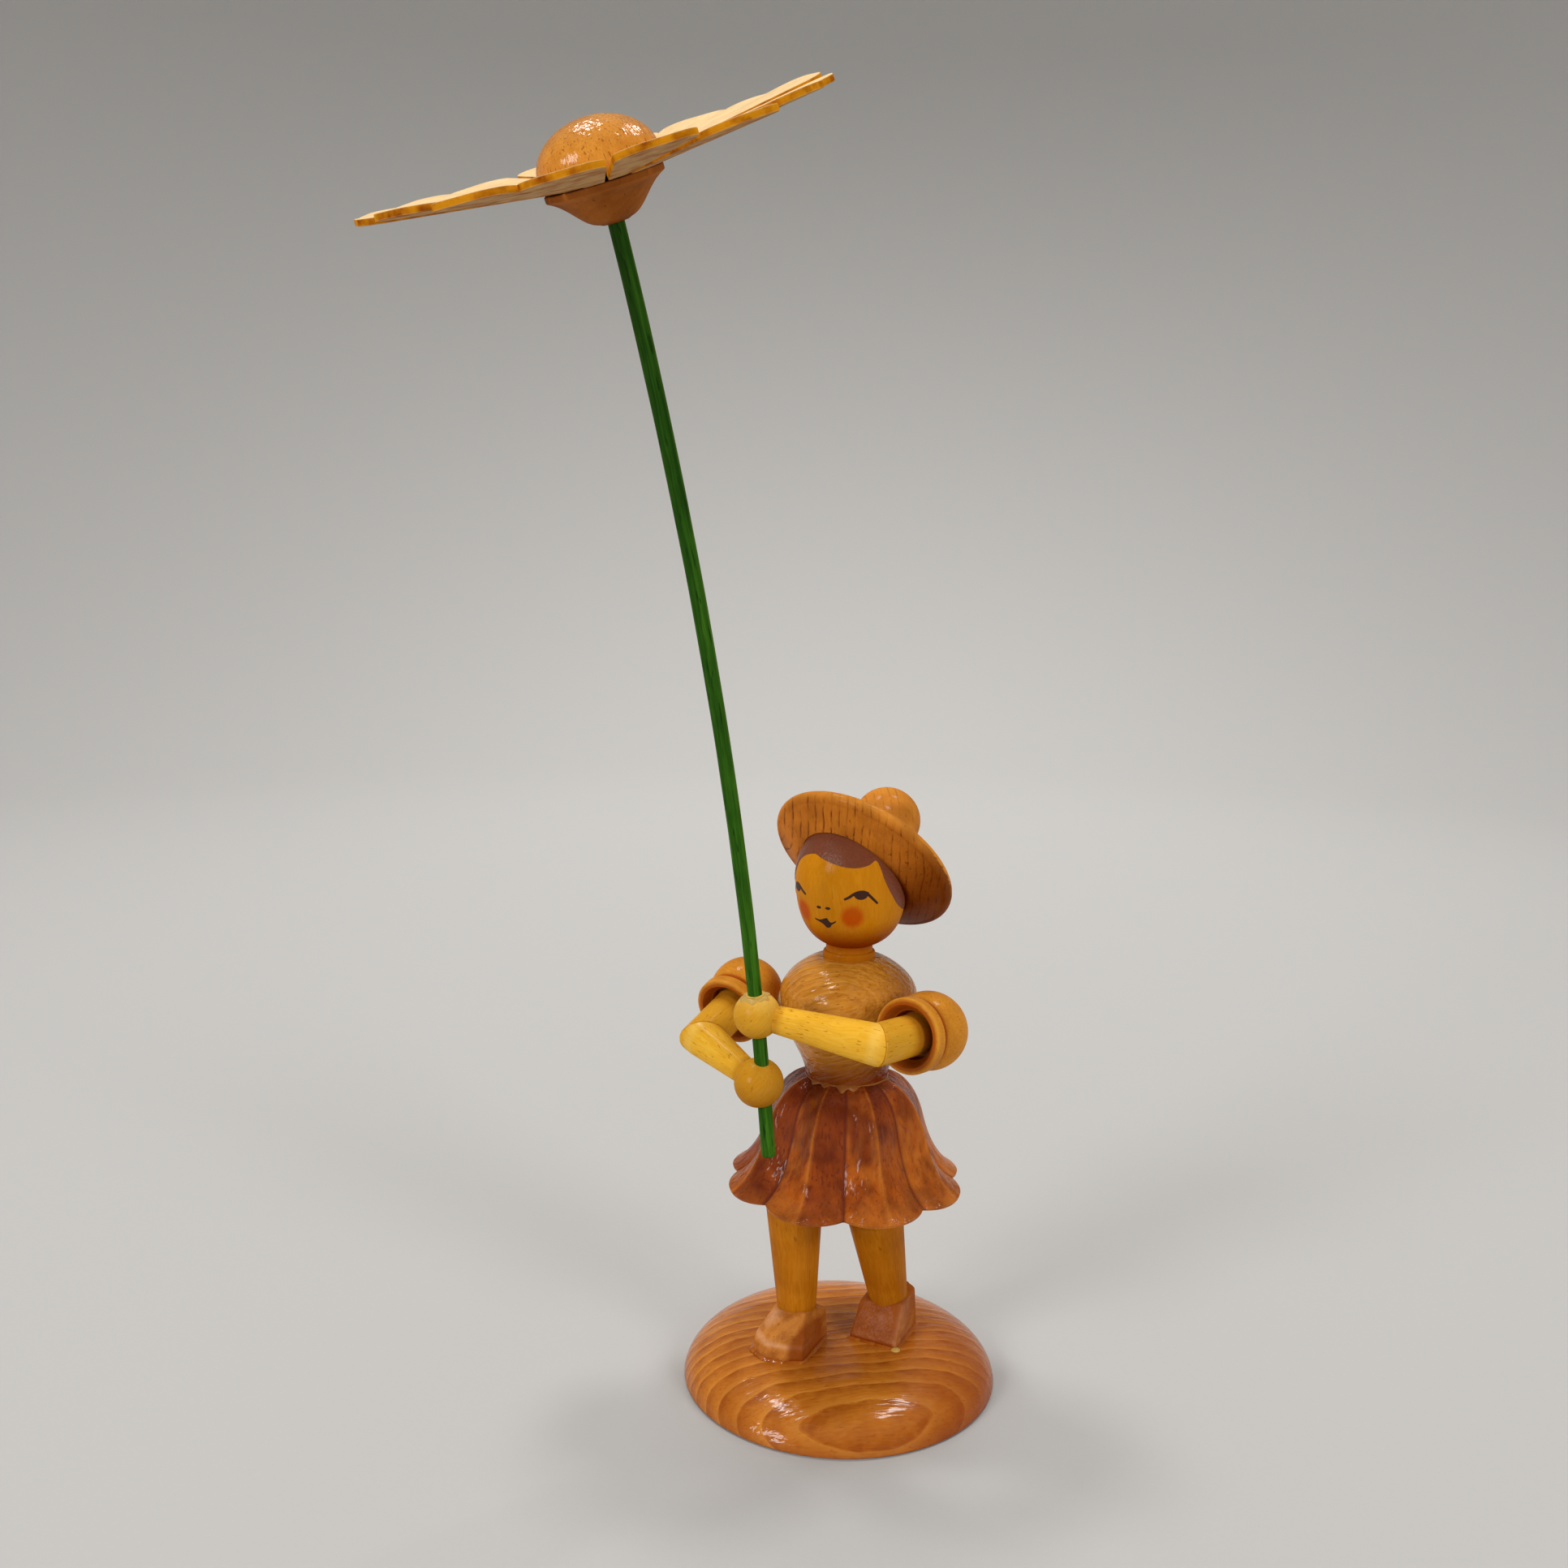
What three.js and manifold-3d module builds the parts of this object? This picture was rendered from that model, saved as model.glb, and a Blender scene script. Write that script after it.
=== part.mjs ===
// A turned and carved wooden flower child: a girl on a round base who holds a long-stemmed
// wooden daisy in both hands. Every piece is a separate turning or carving, pegged and glued.
// Millimetres, +Z up. The origin is the centre of the base's underside and the girl faces -Y.

import * as THREE from "three";
import { mergeVertices } from "three/addons/utils/BufferGeometryUtils.js";
import Module from "manifold-3d";

const wasm = await Module();
wasm.setup();

const degrees = THREE.MathUtils.degToRad;

// Room left all round every peg, seat and glued face
const FIT_GAP = 0.3;

// Base
const BASE_RADIUS = 22.5;
const BASE_HEIGHT = 5.9;
const BASE_SHOULDER = 11.5;
const STAND_X = 0.25;
const STAND_Y = 0.2;

// Shoes, measured from the axis of the leg: the left one is steep and high, the right one long and low
const SHOE_HEIGHT = 4.4;
const SHOE_HEEL_LENGTH = 3.3;
const SHOE_HEEL_WIDTH = 6.4;
const SHOE_CORNER = 0.7;
const LEFT_HEEL_HEIGHT = 6.1;
const LEFT_INSTEP_LENGTH = 1.9;
const LEFT_INSTEP_HEIGHT = 4.9;
const LEFT_TOE_LENGTH = 5.4;
const LEFT_TOE_HEIGHT = 0.9;
const LEFT_TOE_WIDTH = 7.3;
const LEFT_TOE_SHIFT = 0;
const RIGHT_HEEL_HEIGHT = 4.1;
const RIGHT_INSTEP_LENGTH = 2.5;
const RIGHT_INSTEP_HEIGHT = 4.7;
const RIGHT_TOE_LENGTH = 7.6;
const RIGHT_TOE_HEIGHT = 1.9;
const RIGHT_TOE_WIDTH = 8.5;
const RIGHT_TOE_SHIFT = 0.85;
// Corners of each toe, from the girl's right to her left, as shares of its width and length
const LEFT_TOE = [[-0.5, 1], [0.5, 0.98]];
const RIGHT_TOE = [[-0.5, 0.66], [-0.42, 0.86], [-0.09, 1], [0.26, 0.87], [0.5, 0.68]];

// Legs, in stride: the right foot is ahead of the left
const LEG_RISE = 21.3;
const LEG_TOP_RADIUS = 4.05;
const LEG_ANKLE_RADIUS = 2.8;
const LEG_TAPER_RISE = 15;
const LEG_PEG_RADIUS = 1.3;
const BASE_PEG_DEPTH = 3.2;
const HIP_PEG_LENGTH = 5;
const SHOES = {
  left: {
    heelHeight: LEFT_HEEL_HEIGHT,
    instep: [LEFT_INSTEP_LENGTH, LEFT_INSTEP_HEIGHT],
    toe: [LEFT_TOE_LENGTH, LEFT_TOE_HEIGHT],
    outline: LEFT_TOE.map(([x, y]) => [LEFT_TOE_SHIFT + x * LEFT_TOE_WIDTH, -y * LEFT_TOE_LENGTH]),
  },
  right: {
    heelHeight: RIGHT_HEEL_HEIGHT,
    instep: [RIGHT_INSTEP_LENGTH, RIGHT_INSTEP_HEIGHT],
    toe: [RIGHT_TOE_LENGTH, RIGHT_TOE_HEIGHT],
    outline: RIGHT_TOE.map(([x, y]) => [RIGHT_TOE_SHIFT + x * RIGHT_TOE_WIDTH, -y * RIGHT_TOE_LENGTH]),
  },
};
const STANCE = {
  left: { side: 1, foot: [4.5, 5.4], hip: [4.6, -0.8], turnOut: degrees(9.5) },
  right: { side: -1, foot: [-4.3, -5.2], hip: [-5.3, -5.2], turnOut: degrees(0) },
};

// Skirt
const SKIRT_HEIGHT = 16;
const SKIRT_WAIST_RADIUS = 6;
const SKIRT_HIP_RADIUS = 12.1;
const SKIRT_HIP_HEIGHT = 8.6;
const SKIRT_HEM_RADIUS = 17;
const SKIRT_HOLLOW = 3.1;
const SKIRT_HEM_WALL = 1.1;
const FLUTE_COUNT = 8;
const FLUTE_DEPTH = 1.7;
const FLUTE_PHASE = degrees(-55);
const HEM_SCALLOP = 0.4;
const HEM_FLARE = { leave: [-2.6, 1.5], arrive: [0.9, -3.4] };
const HIP_ROUND = { leave: [-0.9, 3.4], arrive: [3.2, -0.9] };

// Torso and neck
const TORSO_HEIGHT = 16.8;
const TORSO_RADIUS = 9.6;
const TORSO_WAIST_RADIUS = 5.85;
const TORSO_CHEST_HEIGHT = 11.6;
const TORSO_TOP_RADIUS = 4.4;
const WAIST_PEG_RADIUS = 2.6;
const WAIST_PEG_LENGTH = 5;
const SHOULDER_HEIGHT = 9.7;
const BODICE = { leave: [0.5, 3.6], arrive: [0, -5.6] };
const SHOULDER_ROUND = { leave: [0, 2.2], arrive: [2.2, -0.7] };
const NECK_RADIUS = 3.3;
const NECK_HEIGHT = 1.7;
const NECK_BEAD = 0.35;
const NECK_PEG_RADIUS = 1.7;
const NECK_PEG_LENGTH = 4;

// Head and hat
const HEAD_RADIUS = 7.7;
const HEAD_CHIN = 9.4;
const HEAD_TOP = 9;
const HEAD_SEAT = 0.9;
const HEAD_NOD = degrees(6);
const CHIN_FULLNESS = 0.7;
const CHEEK_FULLNESS = 0.67;
const HAT_TILT = degrees(50);
const BRIM_RADIUS = 13.6;
const BRIM_RISE = 3.8;
const BRIM_THICKNESS = 1.9;
const CROWN_WALL = 1.3;
const HAT_RIM = 0.8;
const CROWN_TOP_RADIUS = 4.8;
const CROWN_HEIGHT = 16.1;
const CROWN_FOOT_RISE = 2.2;
const BRIM_UNDERSIDE = { leave: [1.5, 0], arrive: [-1.05, -0.6] };
const BRIM_TOP = { leave: [-1.55, -0.4], arrive: [1, -1.2] };
const CROWN_SIDE = { leave: [-1.6, 2], arrive: [0.4, -3.4] };

// Sleeves and arms. Hands are balls strung on the stem: below and aside place them from the grip.
const SLEEVE_RADIUS = 5.3;
const CUFF_RADIUS = 5.1;
const CUFF_LENGTH = 2.3;
const CUFF_WALL = 1;
const CUFF_RECESS = 1.1;
const GROOVE_DEPTH = 0.8;
const CUFF_FLARE = 1;
const DOWEL_RADIUS = 1.2;
const DOWEL_TORSO_DEPTH = 4;
const DOWEL_SLEEVE_DEPTH = 4.5;
const DOWEL_WALL = 0.7;
const ARM_RADIUS = 2.75;
const UPPER_ARM_LENGTH = 11.6;
const WRIST_RADIUS = 1.85;
const WRIST_PEG_RADIUS = 1;
const WRIST_PEG_WALL = 0.4;
const ARMS = {
  left: {
    side: 1, setForward: degrees(10), droop: degrees(-4.5), turnIn: degrees(2),
    hand: 3.1, below: 0, aside: 0,
  },
  right: {
    side: -1, setForward: degrees(19.7), droop: degrees(17.8), turnIn: degrees(6.5),
    hand: 3.3, below: 9.9, aside: 0.75,
  },
};

// Flower stem, an arc that leans forward more and more towards its top
const STEM_RADIUS = 0.95;
const STEM_BOW_RADIUS = 460;
const STEM_GRIP_LEAN = degrees(9.2);
const STEM_TAIL = 20.4;
const STEM_REACH = 98.2;
const STEM_STEPS = 20;
const GRIP_SIDE = -0.3;
const GRIP_REACH = 20.2;
const GRIP_RISE = 3.3;

// Flower
const FLOWER_NOD = degrees(2.2);
const FLOWER_SIDE_LEAN = degrees(2.3);
const CALYX_RADIUS = 6.6;
const CALYX_HEIGHT = 4.1;
const CALYX_NECK_RADIUS = 1.9;
const CALYX_LEDGE = 0.6;
const CALYX_BOWL = { leave: [1.7, 0.4], arrive: [-2.2, -0.9] };
const BUTTON_RADIUS = 6.75;
const BUTTON_RISE = 4.9;
const BUTTON_BELLY = 0.3;
const BUTTON_SOCKET = 2.4;
const PETAL_COUNT = 16;
const PETAL_TIP_RADIUS = 26.3;
const PETAL_ROOT_RADIUS = 4;
const PETAL_ROOT_WIDTH = 1.2;
const PETAL_TIP_WIDTH = 8.4;
const PETAL_CORNER = 2.6;
const PETAL_END_ROUND = 0.3;
const PETAL_THICKNESS = 0.7;
const PETAL_RAISE = degrees(6.5);
const PETAL_PHASE = degrees(12);

// Facets round each turned piece
const COARSE = 16;
const MEDIUM = 20;
const FINE = 36;
const FLUTE_FACETS = 6;
// Less than any real length, to tell points on a surface from points beyond it
const ROUNDING = 1e-4;
const CURVE_STEPS = 4;
const LIP_STEPS = 3;

// Finishes
const WOOD = {
  base: finish(0xb9741f, 0.35),
  shoe: finish(0xa05a24, 0.45),
  leg: finish(0xcf9226, 0.45),
  skirt: finish(0x8a4526, 0.35),
  torso: finish(0xb9781f, 0.4),
  face: finish(0xd59a2a, 0.45),
  hat: finish(0xbf741f, 0.4),
  sleeve: finish(0xb8701f, 0.45),
  arm: finish(0xd8ab3c, 0.5),
  dowel: finish(0xd9b98a, 0.7),
  stem: finish(0x1f5a24, 0.5),
  calyx: finish(0xa9683a, 0.5),
  button: finish(0xc48a2c, 0.35),
  petal: finish(0xe6cfa6, 0.6),
};

function finish(color, roughness) {
  return new THREE.MeshStandardMaterial({ color, roughness, metalness: 0 });
}

// Solids

// A clean closed surface: shared corners merged, slivers dropped, faces pointing out
function closed(geometry) {
  const bare = geometry.clone();
  bare.deleteAttribute("normal");
  bare.deleteAttribute("uv");
  const merged = mergeVertices(bare, 1e-4);
  const index = merged.getIndex().array;
  const kept = [];
  for (let i = 0; i < index.length; i += 3) {
    const [a, b, c] = [index[i], index[i + 1], index[i + 2]];
    if (a !== b && b !== c && c !== a) kept.push(a, b, c);
  }
  merged.setIndex(kept);
  if (volume(merged) < 0) {
    for (let i = 0; i < kept.length; i += 3) [kept[i], kept[i + 1]] = [kept[i + 1], kept[i]];
    merged.setIndex(kept);
  }
  return merged;
}

function volume(geometry) {
  const position = geometry.getAttribute("position");
  const index = geometry.getIndex().array;
  const corner = [0, 1, 2].map(() => new THREE.Vector3());
  let sum = 0;
  for (let i = 0; i < index.length; i += 3) {
    corner.forEach((point, k) => point.fromBufferAttribute(position, index[i + k]));
    sum += corner[0].dot(corner[1].cross(corner[2])) / 6;
  }
  return sum;
}

function toSolid(geometry) {
  const surface = closed(geometry);
  return new wasm.Manifold(new wasm.Mesh({
    numProp: 3,
    vertProperties: new Float32Array(surface.getAttribute("position").array),
    triVerts: new Uint32Array(surface.getIndex().array),
  }));
}

function toGeometry(solid) {
  const { vertProperties, triVerts } = solid.getMesh();
  const geometry = new THREE.BufferGeometry();
  geometry.setAttribute("position", new THREE.BufferAttribute(new Float32Array(vertProperties), 3));
  geometry.setIndex([...triVerts]);
  return geometry;
}

const join = (first, second) => toGeometry(toSolid(first).add(toSolid(second)));
const cut = (body, tool) => toGeometry(toSolid(body).subtract(toSolid(tool)));
const overlapOf = (first, second) => toGeometry(toSolid(first).intersect(toSolid(second)));

// A turning about +Z from a profile of (radius, height)
function turned(profile, facets, curveSteps = CURVE_STEPS) {
  const points = profile.getPoints(curveSteps);
  return closed(new THREE.LatheGeometry(points, facets).rotateX(Math.PI / 2));
}

// Carries a profile on in a smooth curve. The handles are steps in radius and height, one from
// the point it leaves and one from the point where it arrives.
function curveTo(profile, radius, height, { leave, arrive }) {
  const from = profile.currentPoint;
  profile.bezierCurveTo(
    from.x + leave[0], from.y + leave[1], radius + arrive[0], height + arrive[1], radius, height);
}

// A turned profile through plain (radius, height) corners
function corners(...points) {
  return new THREE.Path(points.map(([radius, height]) => new THREE.Vector2(radius, height)));
}

function peg(radius, low, high, facets = COARSE) {
  return turned(corners([0, low], [radius, low], [radius, high], [0, high]), facets);
}

function ball(radius, facets = MEDIUM) {
  const profile = new THREE.Path();
  profile.absarc(0, 0, radius, -Math.PI / 2, Math.PI / 2, false);
  return turned(profile, facets, Math.round(facets / 4));
}

// Placing

function piece(parent, name, geometry, material) {
  const mesh = new THREE.Mesh(closed(geometry), material);
  mesh.name = name;
  parent.add(mesh);
  return mesh;
}

function frameAt(parent, position, direction) {
  const frame = new THREE.Group();
  frame.position.copy(position);
  if (direction) frame.quaternion.setFromUnitVectors(UP, direction.clone().normalize());
  parent.add(frame);
  return frame;
}

// Takes out of a piece the room that a tool fills, where the tool is drawn in its owner's frame
function carve(mesh, tool, owner) {
  root.updateMatrixWorld(true);
  const place = mesh.matrixWorld.clone().invert().multiply(owner.matrixWorld);
  mesh.geometry = cut(mesh.geometry, tool.clone().applyMatrix4(place));
}

function pointIn(frame, owner, point) {
  root.updateMatrixWorld(true);
  return frame.worldToLocal(owner.localToWorld(point.clone()));
}

const UP = new THREE.Vector3(0, 0, 1);
const root = new THREE.Group();

// Base

function baseProfile() {
  const flat = BASE_RADIUS - BASE_SHOULDER;
  const profile = new THREE.Path();
  profile.moveTo(0, 0);
  profile.lineTo(BASE_RADIUS, 0);
  profile.absellipse(flat, 0, BASE_SHOULDER, BASE_HEIGHT, 0, Math.PI / 2, false);
  profile.lineTo(0, BASE_HEIGHT);
  return profile;
}

const base = piece(root, "base", turned(baseProfile(), FINE), WOOD.base);
const figure = frameAt(root, new THREE.Vector3(STAND_X, STAND_Y, BASE_HEIGHT + FIT_GAP));

// Shoes and legs

function shoeGeometry({ heelHeight, instep, toe, outline }) {
  const side = new THREE.Shape();
  side.moveTo(SHOE_HEEL_LENGTH, 0);
  side.lineTo(SHOE_HEEL_LENGTH, heelHeight);
  side.lineTo(-instep[0], instep[1]);
  side.lineTo(-toe[0], toe[1]);
  side.lineTo(-toe[0], 0);
  const heel = SHOE_HEEL_WIDTH / 2;
  const width = 2 * Math.max(heel, ...outline.map(([x]) => Math.abs(x)));
  const block = new THREE.ExtrudeGeometry(side, { depth: width, bevelEnabled: false });
  // The side view lies in X and Y: stand it up so that X runs along the shoe and Y upwards
  const upright = new THREE.Matrix4().makeBasis(
    new THREE.Vector3(0, 1, 0), UP, new THREE.Vector3(1, 0, 0));
  block.translate(0, 0, -width / 2).applyMatrix4(upright);
  const plan = roundedOutline(
    [[-heel, SHOE_HEEL_LENGTH], ...outline, [heel, SHOE_HEEL_LENGTH]], SHOE_CORNER);
  const prism = new THREE.ExtrudeGeometry(plan, {
    depth: Math.max(instep[1], heelHeight), bevelEnabled: false, curveSegments: 3,
  });
  return overlapOf(block, prism);
}

// A closed outline through the corners, each rounded by the same radius
function roundedOutline(points, radius) {
  const outline = new THREE.Shape();
  const at = points.map(([x, y]) => new THREE.Vector2(x, y));
  at.forEach((corner, i) => {
    const before = at[(i + at.length - 1) % at.length].clone().sub(corner).setLength(radius);
    const after = at[(i + 1) % at.length].clone().sub(corner).setLength(radius);
    const start = corner.clone().add(before);
    const end = corner.clone().add(after);
    if (i === 0) outline.moveTo(start.x, start.y);
    else outline.lineTo(start.x, start.y);
    outline.quadraticCurveTo(corner.x, corner.y, end.x, end.y);
  });
  outline.closePath();
  return outline;
}

// A leg drawn from its ankle upwards, with a peg through the shoe below and one for the hip above.
// Grown by a gap, the same drawing cuts its sockets.
function legGeometry(length, grow) {
  const foot = -SHOE_HEIGHT - BASE_PEG_DEPTH;
  const profile = corners(
    [0, foot - grow],
    [LEG_PEG_RADIUS + grow, foot - grow],
    [LEG_PEG_RADIUS + grow, -grow],
    [LEG_ANKLE_RADIUS + grow, -grow],
    [LEG_TOP_RADIUS + grow, LEG_TAPER_RISE],
    [LEG_TOP_RADIUS + grow, length + grow],
    [LEG_PEG_RADIUS + grow, length + grow],
    [LEG_PEG_RADIUS + grow, length + HIP_PEG_LENGTH + grow],
    [0, length + HIP_PEG_LENGTH + grow],
  );
  return turned(profile, COARSE);
}

const ankleHeight = SHOE_HEIGHT + FIT_GAP;
const hipHeight = ankleHeight + LEG_RISE;
const legFrames = {};

for (const [side, stance] of Object.entries(STANCE)) {
  const ankle = new THREE.Vector3(...stance.foot, ankleHeight);
  const hip = new THREE.Vector3(...stance.hip, hipHeight);
  const stride = hip.clone().sub(ankle);
  const shoe = piece(figure, `shoe_${side}`, shoeGeometry(SHOES[side]), WOOD.shoe);
  shoe.position.set(...stance.foot, 0);
  shoe.rotation.z = stance.side * stance.turnOut;
  const frame = frameAt(figure, ankle, stride);
  legFrames[side] = { frame, length: stride.length() };
  piece(frame, `leg_${side}`, legGeometry(stride.length(), 0), WOOD.leg);
  const socket = legGeometry(stride.length(), FIT_GAP);
  carve(shoe, socket, frame);
  carve(base, socket, frame);
}

// Skirt: turned, then carved into flutes that run out into a scalloped hem

const hipReach = Math.max(...Object.values(STANCE).map(({ hip }) => Math.hypot(...hip)));
const hollowCeiling = hipReach + LEG_TOP_RADIUS + FIT_GAP;
const hollowMouth = Math.max(SKIRT_HEM_RADIUS - FLUTE_DEPTH - SKIRT_HEM_WALL, hollowCeiling);

function skirtProfile() {
  const profile = new THREE.Path();
  profile.moveTo(0, SKIRT_HOLLOW);
  profile.lineTo(hollowCeiling, SKIRT_HOLLOW);
  profile.lineTo(hollowMouth, 0);
  profile.lineTo(SKIRT_HEM_RADIUS - SKIRT_HEM_WALL / 2, 0);
  profile.lineTo(SKIRT_HEM_RADIUS, SKIRT_HEM_WALL / 2);
  curveTo(profile, SKIRT_HIP_RADIUS, SKIRT_HIP_HEIGHT, HEM_FLARE);
  curveTo(profile, SKIRT_WAIST_RADIUS, SKIRT_HEIGHT, HIP_ROUND);
  profile.lineTo(0, SKIRT_HEIGHT);
  return profile;
}

function fluted(geometry) {
  const position = geometry.getAttribute("position");
  const point = new THREE.Vector3();
  for (let i = 0; i < position.count; i += 1) {
    point.fromBufferAttribute(position, i);
    const radius = Math.hypot(point.x, point.y);
    const inside = point.z <= SKIRT_HOLLOW && radius < hollowMouth + ROUNDING;
    if (inside || radius < SKIRT_WAIST_RADIUS) continue;
    const turn = FLUTE_COUNT * (Math.atan2(point.y, point.x) - FLUTE_PHASE);
    // 0 on the crest of a lobe, 1 in the groove between two lobes
    const groove = 1 - Math.abs(Math.sin(turn / 2));
    const fade = 1 - THREE.MathUtils.smoothstep(point.z, SKIRT_HIP_HEIGHT, SKIRT_HEIGHT);
    const scale = 1 - (FLUTE_DEPTH * groove * fade) / radius;
    const lift = HEM_SCALLOP * groove * Math.max(0, 1 - point.z / SKIRT_HOLLOW);
    position.setXYZ(i, point.x * scale, point.y * scale, point.z + lift);
  }
  return geometry;
}

const hemHeight = hipHeight + FIT_GAP - SKIRT_HOLLOW;
const skirtSolid = fluted(turned(skirtProfile(), FLUTE_COUNT * FLUTE_FACETS));
const skirt = piece(figure, "skirt", skirtSolid, WOOD.skirt);
skirt.position.z = hemHeight;
for (const { frame, length } of Object.values(legFrames)) {
  carve(skirt, legGeometry(length, FIT_GAP), frame);
}

// Torso, with its peg down into the skirt

function torsoProfile() {
  const profile = new THREE.Path();
  profile.moveTo(0, -WAIST_PEG_LENGTH);
  profile.lineTo(WAIST_PEG_RADIUS, -WAIST_PEG_LENGTH);
  profile.lineTo(WAIST_PEG_RADIUS, 0);
  profile.lineTo(TORSO_WAIST_RADIUS, 0);
  curveTo(profile, TORSO_RADIUS, TORSO_CHEST_HEIGHT, BODICE);
  curveTo(profile, TORSO_TOP_RADIUS, TORSO_HEIGHT, SHOULDER_ROUND);
  profile.lineTo(0, TORSO_HEIGHT);
  return profile;
}

const waistHeight = hemHeight + SKIRT_HEIGHT + FIT_GAP;
const torso = piece(figure, "torso", turned(torsoProfile(), FINE), WOOD.torso);
torso.position.z = waistHeight;
carve(skirt, peg(WAIST_PEG_RADIUS + FIT_GAP, -WAIST_PEG_LENGTH - FIT_GAP, FIT_GAP), torso);

// Neck: a collar between two pegs, with a bead where it meets the torso

function neckGeometry(grow) {
  const top = NECK_HEIGHT + NECK_PEG_LENGTH;
  const profile = corners(
    [0, -NECK_PEG_LENGTH - grow],
    [NECK_PEG_RADIUS + grow, -NECK_PEG_LENGTH - grow],
    [NECK_PEG_RADIUS + grow, -grow],
    [NECK_RADIUS + NECK_BEAD + grow, -grow],
    [NECK_RADIUS + NECK_BEAD + grow, NECK_BEAD],
    [NECK_RADIUS + grow, 2 * NECK_BEAD],
    [NECK_RADIUS + grow, NECK_HEIGHT + grow],
    [NECK_PEG_RADIUS + grow, NECK_HEIGHT + grow],
    [NECK_PEG_RADIUS + grow, top + grow],
    [0, top + grow],
  );
  return turned(profile, MEDIUM);
}

const neck = piece(figure, "neck", neckGeometry(0), WOOD.face);
neck.position.z = waistHeight + TORSO_HEIGHT + FIT_GAP;
carve(torso, neckGeometry(FIT_GAP), neck);

// Head: an egg with full cheeks, let down over the end of the neck

function headProfile(grow) {
  const radius = HEAD_RADIUS + grow;
  const chin = HEAD_CHIN + grow;
  const profile = new THREE.Path();
  profile.moveTo(0, -chin);
  profile.bezierCurveTo(CHIN_FULLNESS * radius, -chin, radius, -CHEEK_FULLNESS * chin, radius, 0);
  profile.absellipse(0, 0, radius, HEAD_TOP + grow, 0, Math.PI / 2, false);
  return profile;
}

const head = piece(figure, "head", turned(headProfile(0), FINE), WOOD.face);
head.position.z = neck.position.z + NECK_HEIGHT + FIT_GAP + HEAD_CHIN - HEAD_SEAT;
head.rotation.x = HEAD_NOD;
carve(head, neckGeometry(FIT_GAP), neck);

// Hat: pushed far back, hollowed to sit on the head, with a rolled-up brim

function hatProfile() {
  const crownFoot = HEAD_RADIUS + CROWN_WALL;
  const lip = BRIM_THICKNESS / 2;
  const dome = CROWN_HEIGHT - CROWN_TOP_RADIUS;
  const valley = BRIM_RISE + CROWN_FOOT_RISE;
  const profile = new THREE.Path();
  profile.moveTo(0, HAT_RIM);
  profile.lineTo(HEAD_RADIUS, HAT_RIM);
  curveTo(profile, BRIM_RADIUS - lip, BRIM_RISE - lip, BRIM_UNDERSIDE);
  profile.absarc(BRIM_RADIUS - lip, BRIM_RISE, lip, -Math.PI / 2, Math.PI / 2, false);
  curveTo(profile, crownFoot, valley, BRIM_TOP);
  curveTo(profile, CROWN_TOP_RADIUS, dome, CROWN_SIDE);
  profile.absarc(0, dome, CROWN_TOP_RADIUS, 0, Math.PI / 2, false);
  return profile;
}

const hatFrame = frameAt(figure, head.position);
hatFrame.rotation.x = -HAT_TILT;
const hat = piece(hatFrame, "hat", turned(hatProfile(), FINE, LIP_STEPS), WOOD.hat);
carve(hat, turned(headProfile(FIT_GAP), FINE), head);

// Stem: an arc in the girl's middle plane, through both hands

class StemCurve extends THREE.Curve {
  constructor(grip, low, high) {
    super();
    this.grip = grip;
    this.low = low;
    this.high = high;
  }

  leanAt(distance) {
    return STEM_GRIP_LEAN + distance / STEM_BOW_RADIUS;
  }

  pointAt(distance) {
    const lean = this.leanAt(distance);
    const back = Math.cos(lean) - Math.cos(STEM_GRIP_LEAN);
    const rise = Math.sin(lean) - Math.sin(STEM_GRIP_LEAN);
    return this.grip.clone().add(new THREE.Vector3(0, back, rise).multiplyScalar(STEM_BOW_RADIUS));
  }

  getPoint(t) {
    return this.pointAt(THREE.MathUtils.lerp(this.low, this.high, t));
  }
}

const shoulderHeight = waistHeight + SHOULDER_HEIGHT;
const grip = new THREE.Vector3(GRIP_SIDE, -GRIP_REACH, shoulderHeight + GRIP_RISE);
// The stem runs up through the calyx and between the petals' roots into the button
const dish = Math.tan(PETAL_RAISE);
const hub = CALYX_HEIGHT - CALYX_RADIUS * dish;
const slot = (PETAL_THICKNESS + 2 * FIT_GAP) / Math.cos(PETAL_RAISE);
const stemTop = STEM_REACH + hub + slot + BUTTON_SOCKET;

function stemGeometry(grow) {
  const section = new THREE.Shape();
  section.absarc(0, 0, STEM_RADIUS + grow, 0, 2 * Math.PI, false);
  const path = new StemCurve(grip, -STEM_TAIL - grow, stemTop + grow);
  return new THREE.ExtrudeGeometry(section, {
    steps: STEM_STEPS, extrudePath: path, curveSegments: COARSE / 4, bevelEnabled: false,
  });
}

const stemLine = new StemCurve(grip, -STEM_TAIL, stemTop);
piece(figure, "stem", stemGeometry(0), WOOD.stem);

// Sleeves, arms and hands

function sleeveProfile() {
  const grooveRadius = SLEEVE_RADIUS - GROOVE_DEPTH;
  const grooveTurn = Math.acos(grooveRadius / SLEEVE_RADIUS);
  const cuffStart = SLEEVE_RADIUS * Math.sin(grooveTurn);
  const mouth = cuffStart + CUFF_LENGTH;
  const profile = new THREE.Path();
  profile.moveTo(0, -SLEEVE_RADIUS);
  profile.absarc(0, 0, SLEEVE_RADIUS, -Math.PI / 2, grooveTurn, false);
  profile.quadraticCurveTo(CUFF_RADIUS, cuffStart, CUFF_RADIUS, cuffStart + CUFF_FLARE);
  profile.lineTo(CUFF_RADIUS, mouth - CUFF_WALL / 2);
  profile.lineTo(CUFF_RADIUS - CUFF_WALL / 2, mouth);
  profile.lineTo(CUFF_RADIUS - CUFF_WALL, mouth);
  profile.lineTo(ARM_RADIUS + FIT_GAP, mouth - CUFF_RECESS);
  profile.lineTo(0, mouth - CUFF_RECESS);
  return profile;
}

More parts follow.
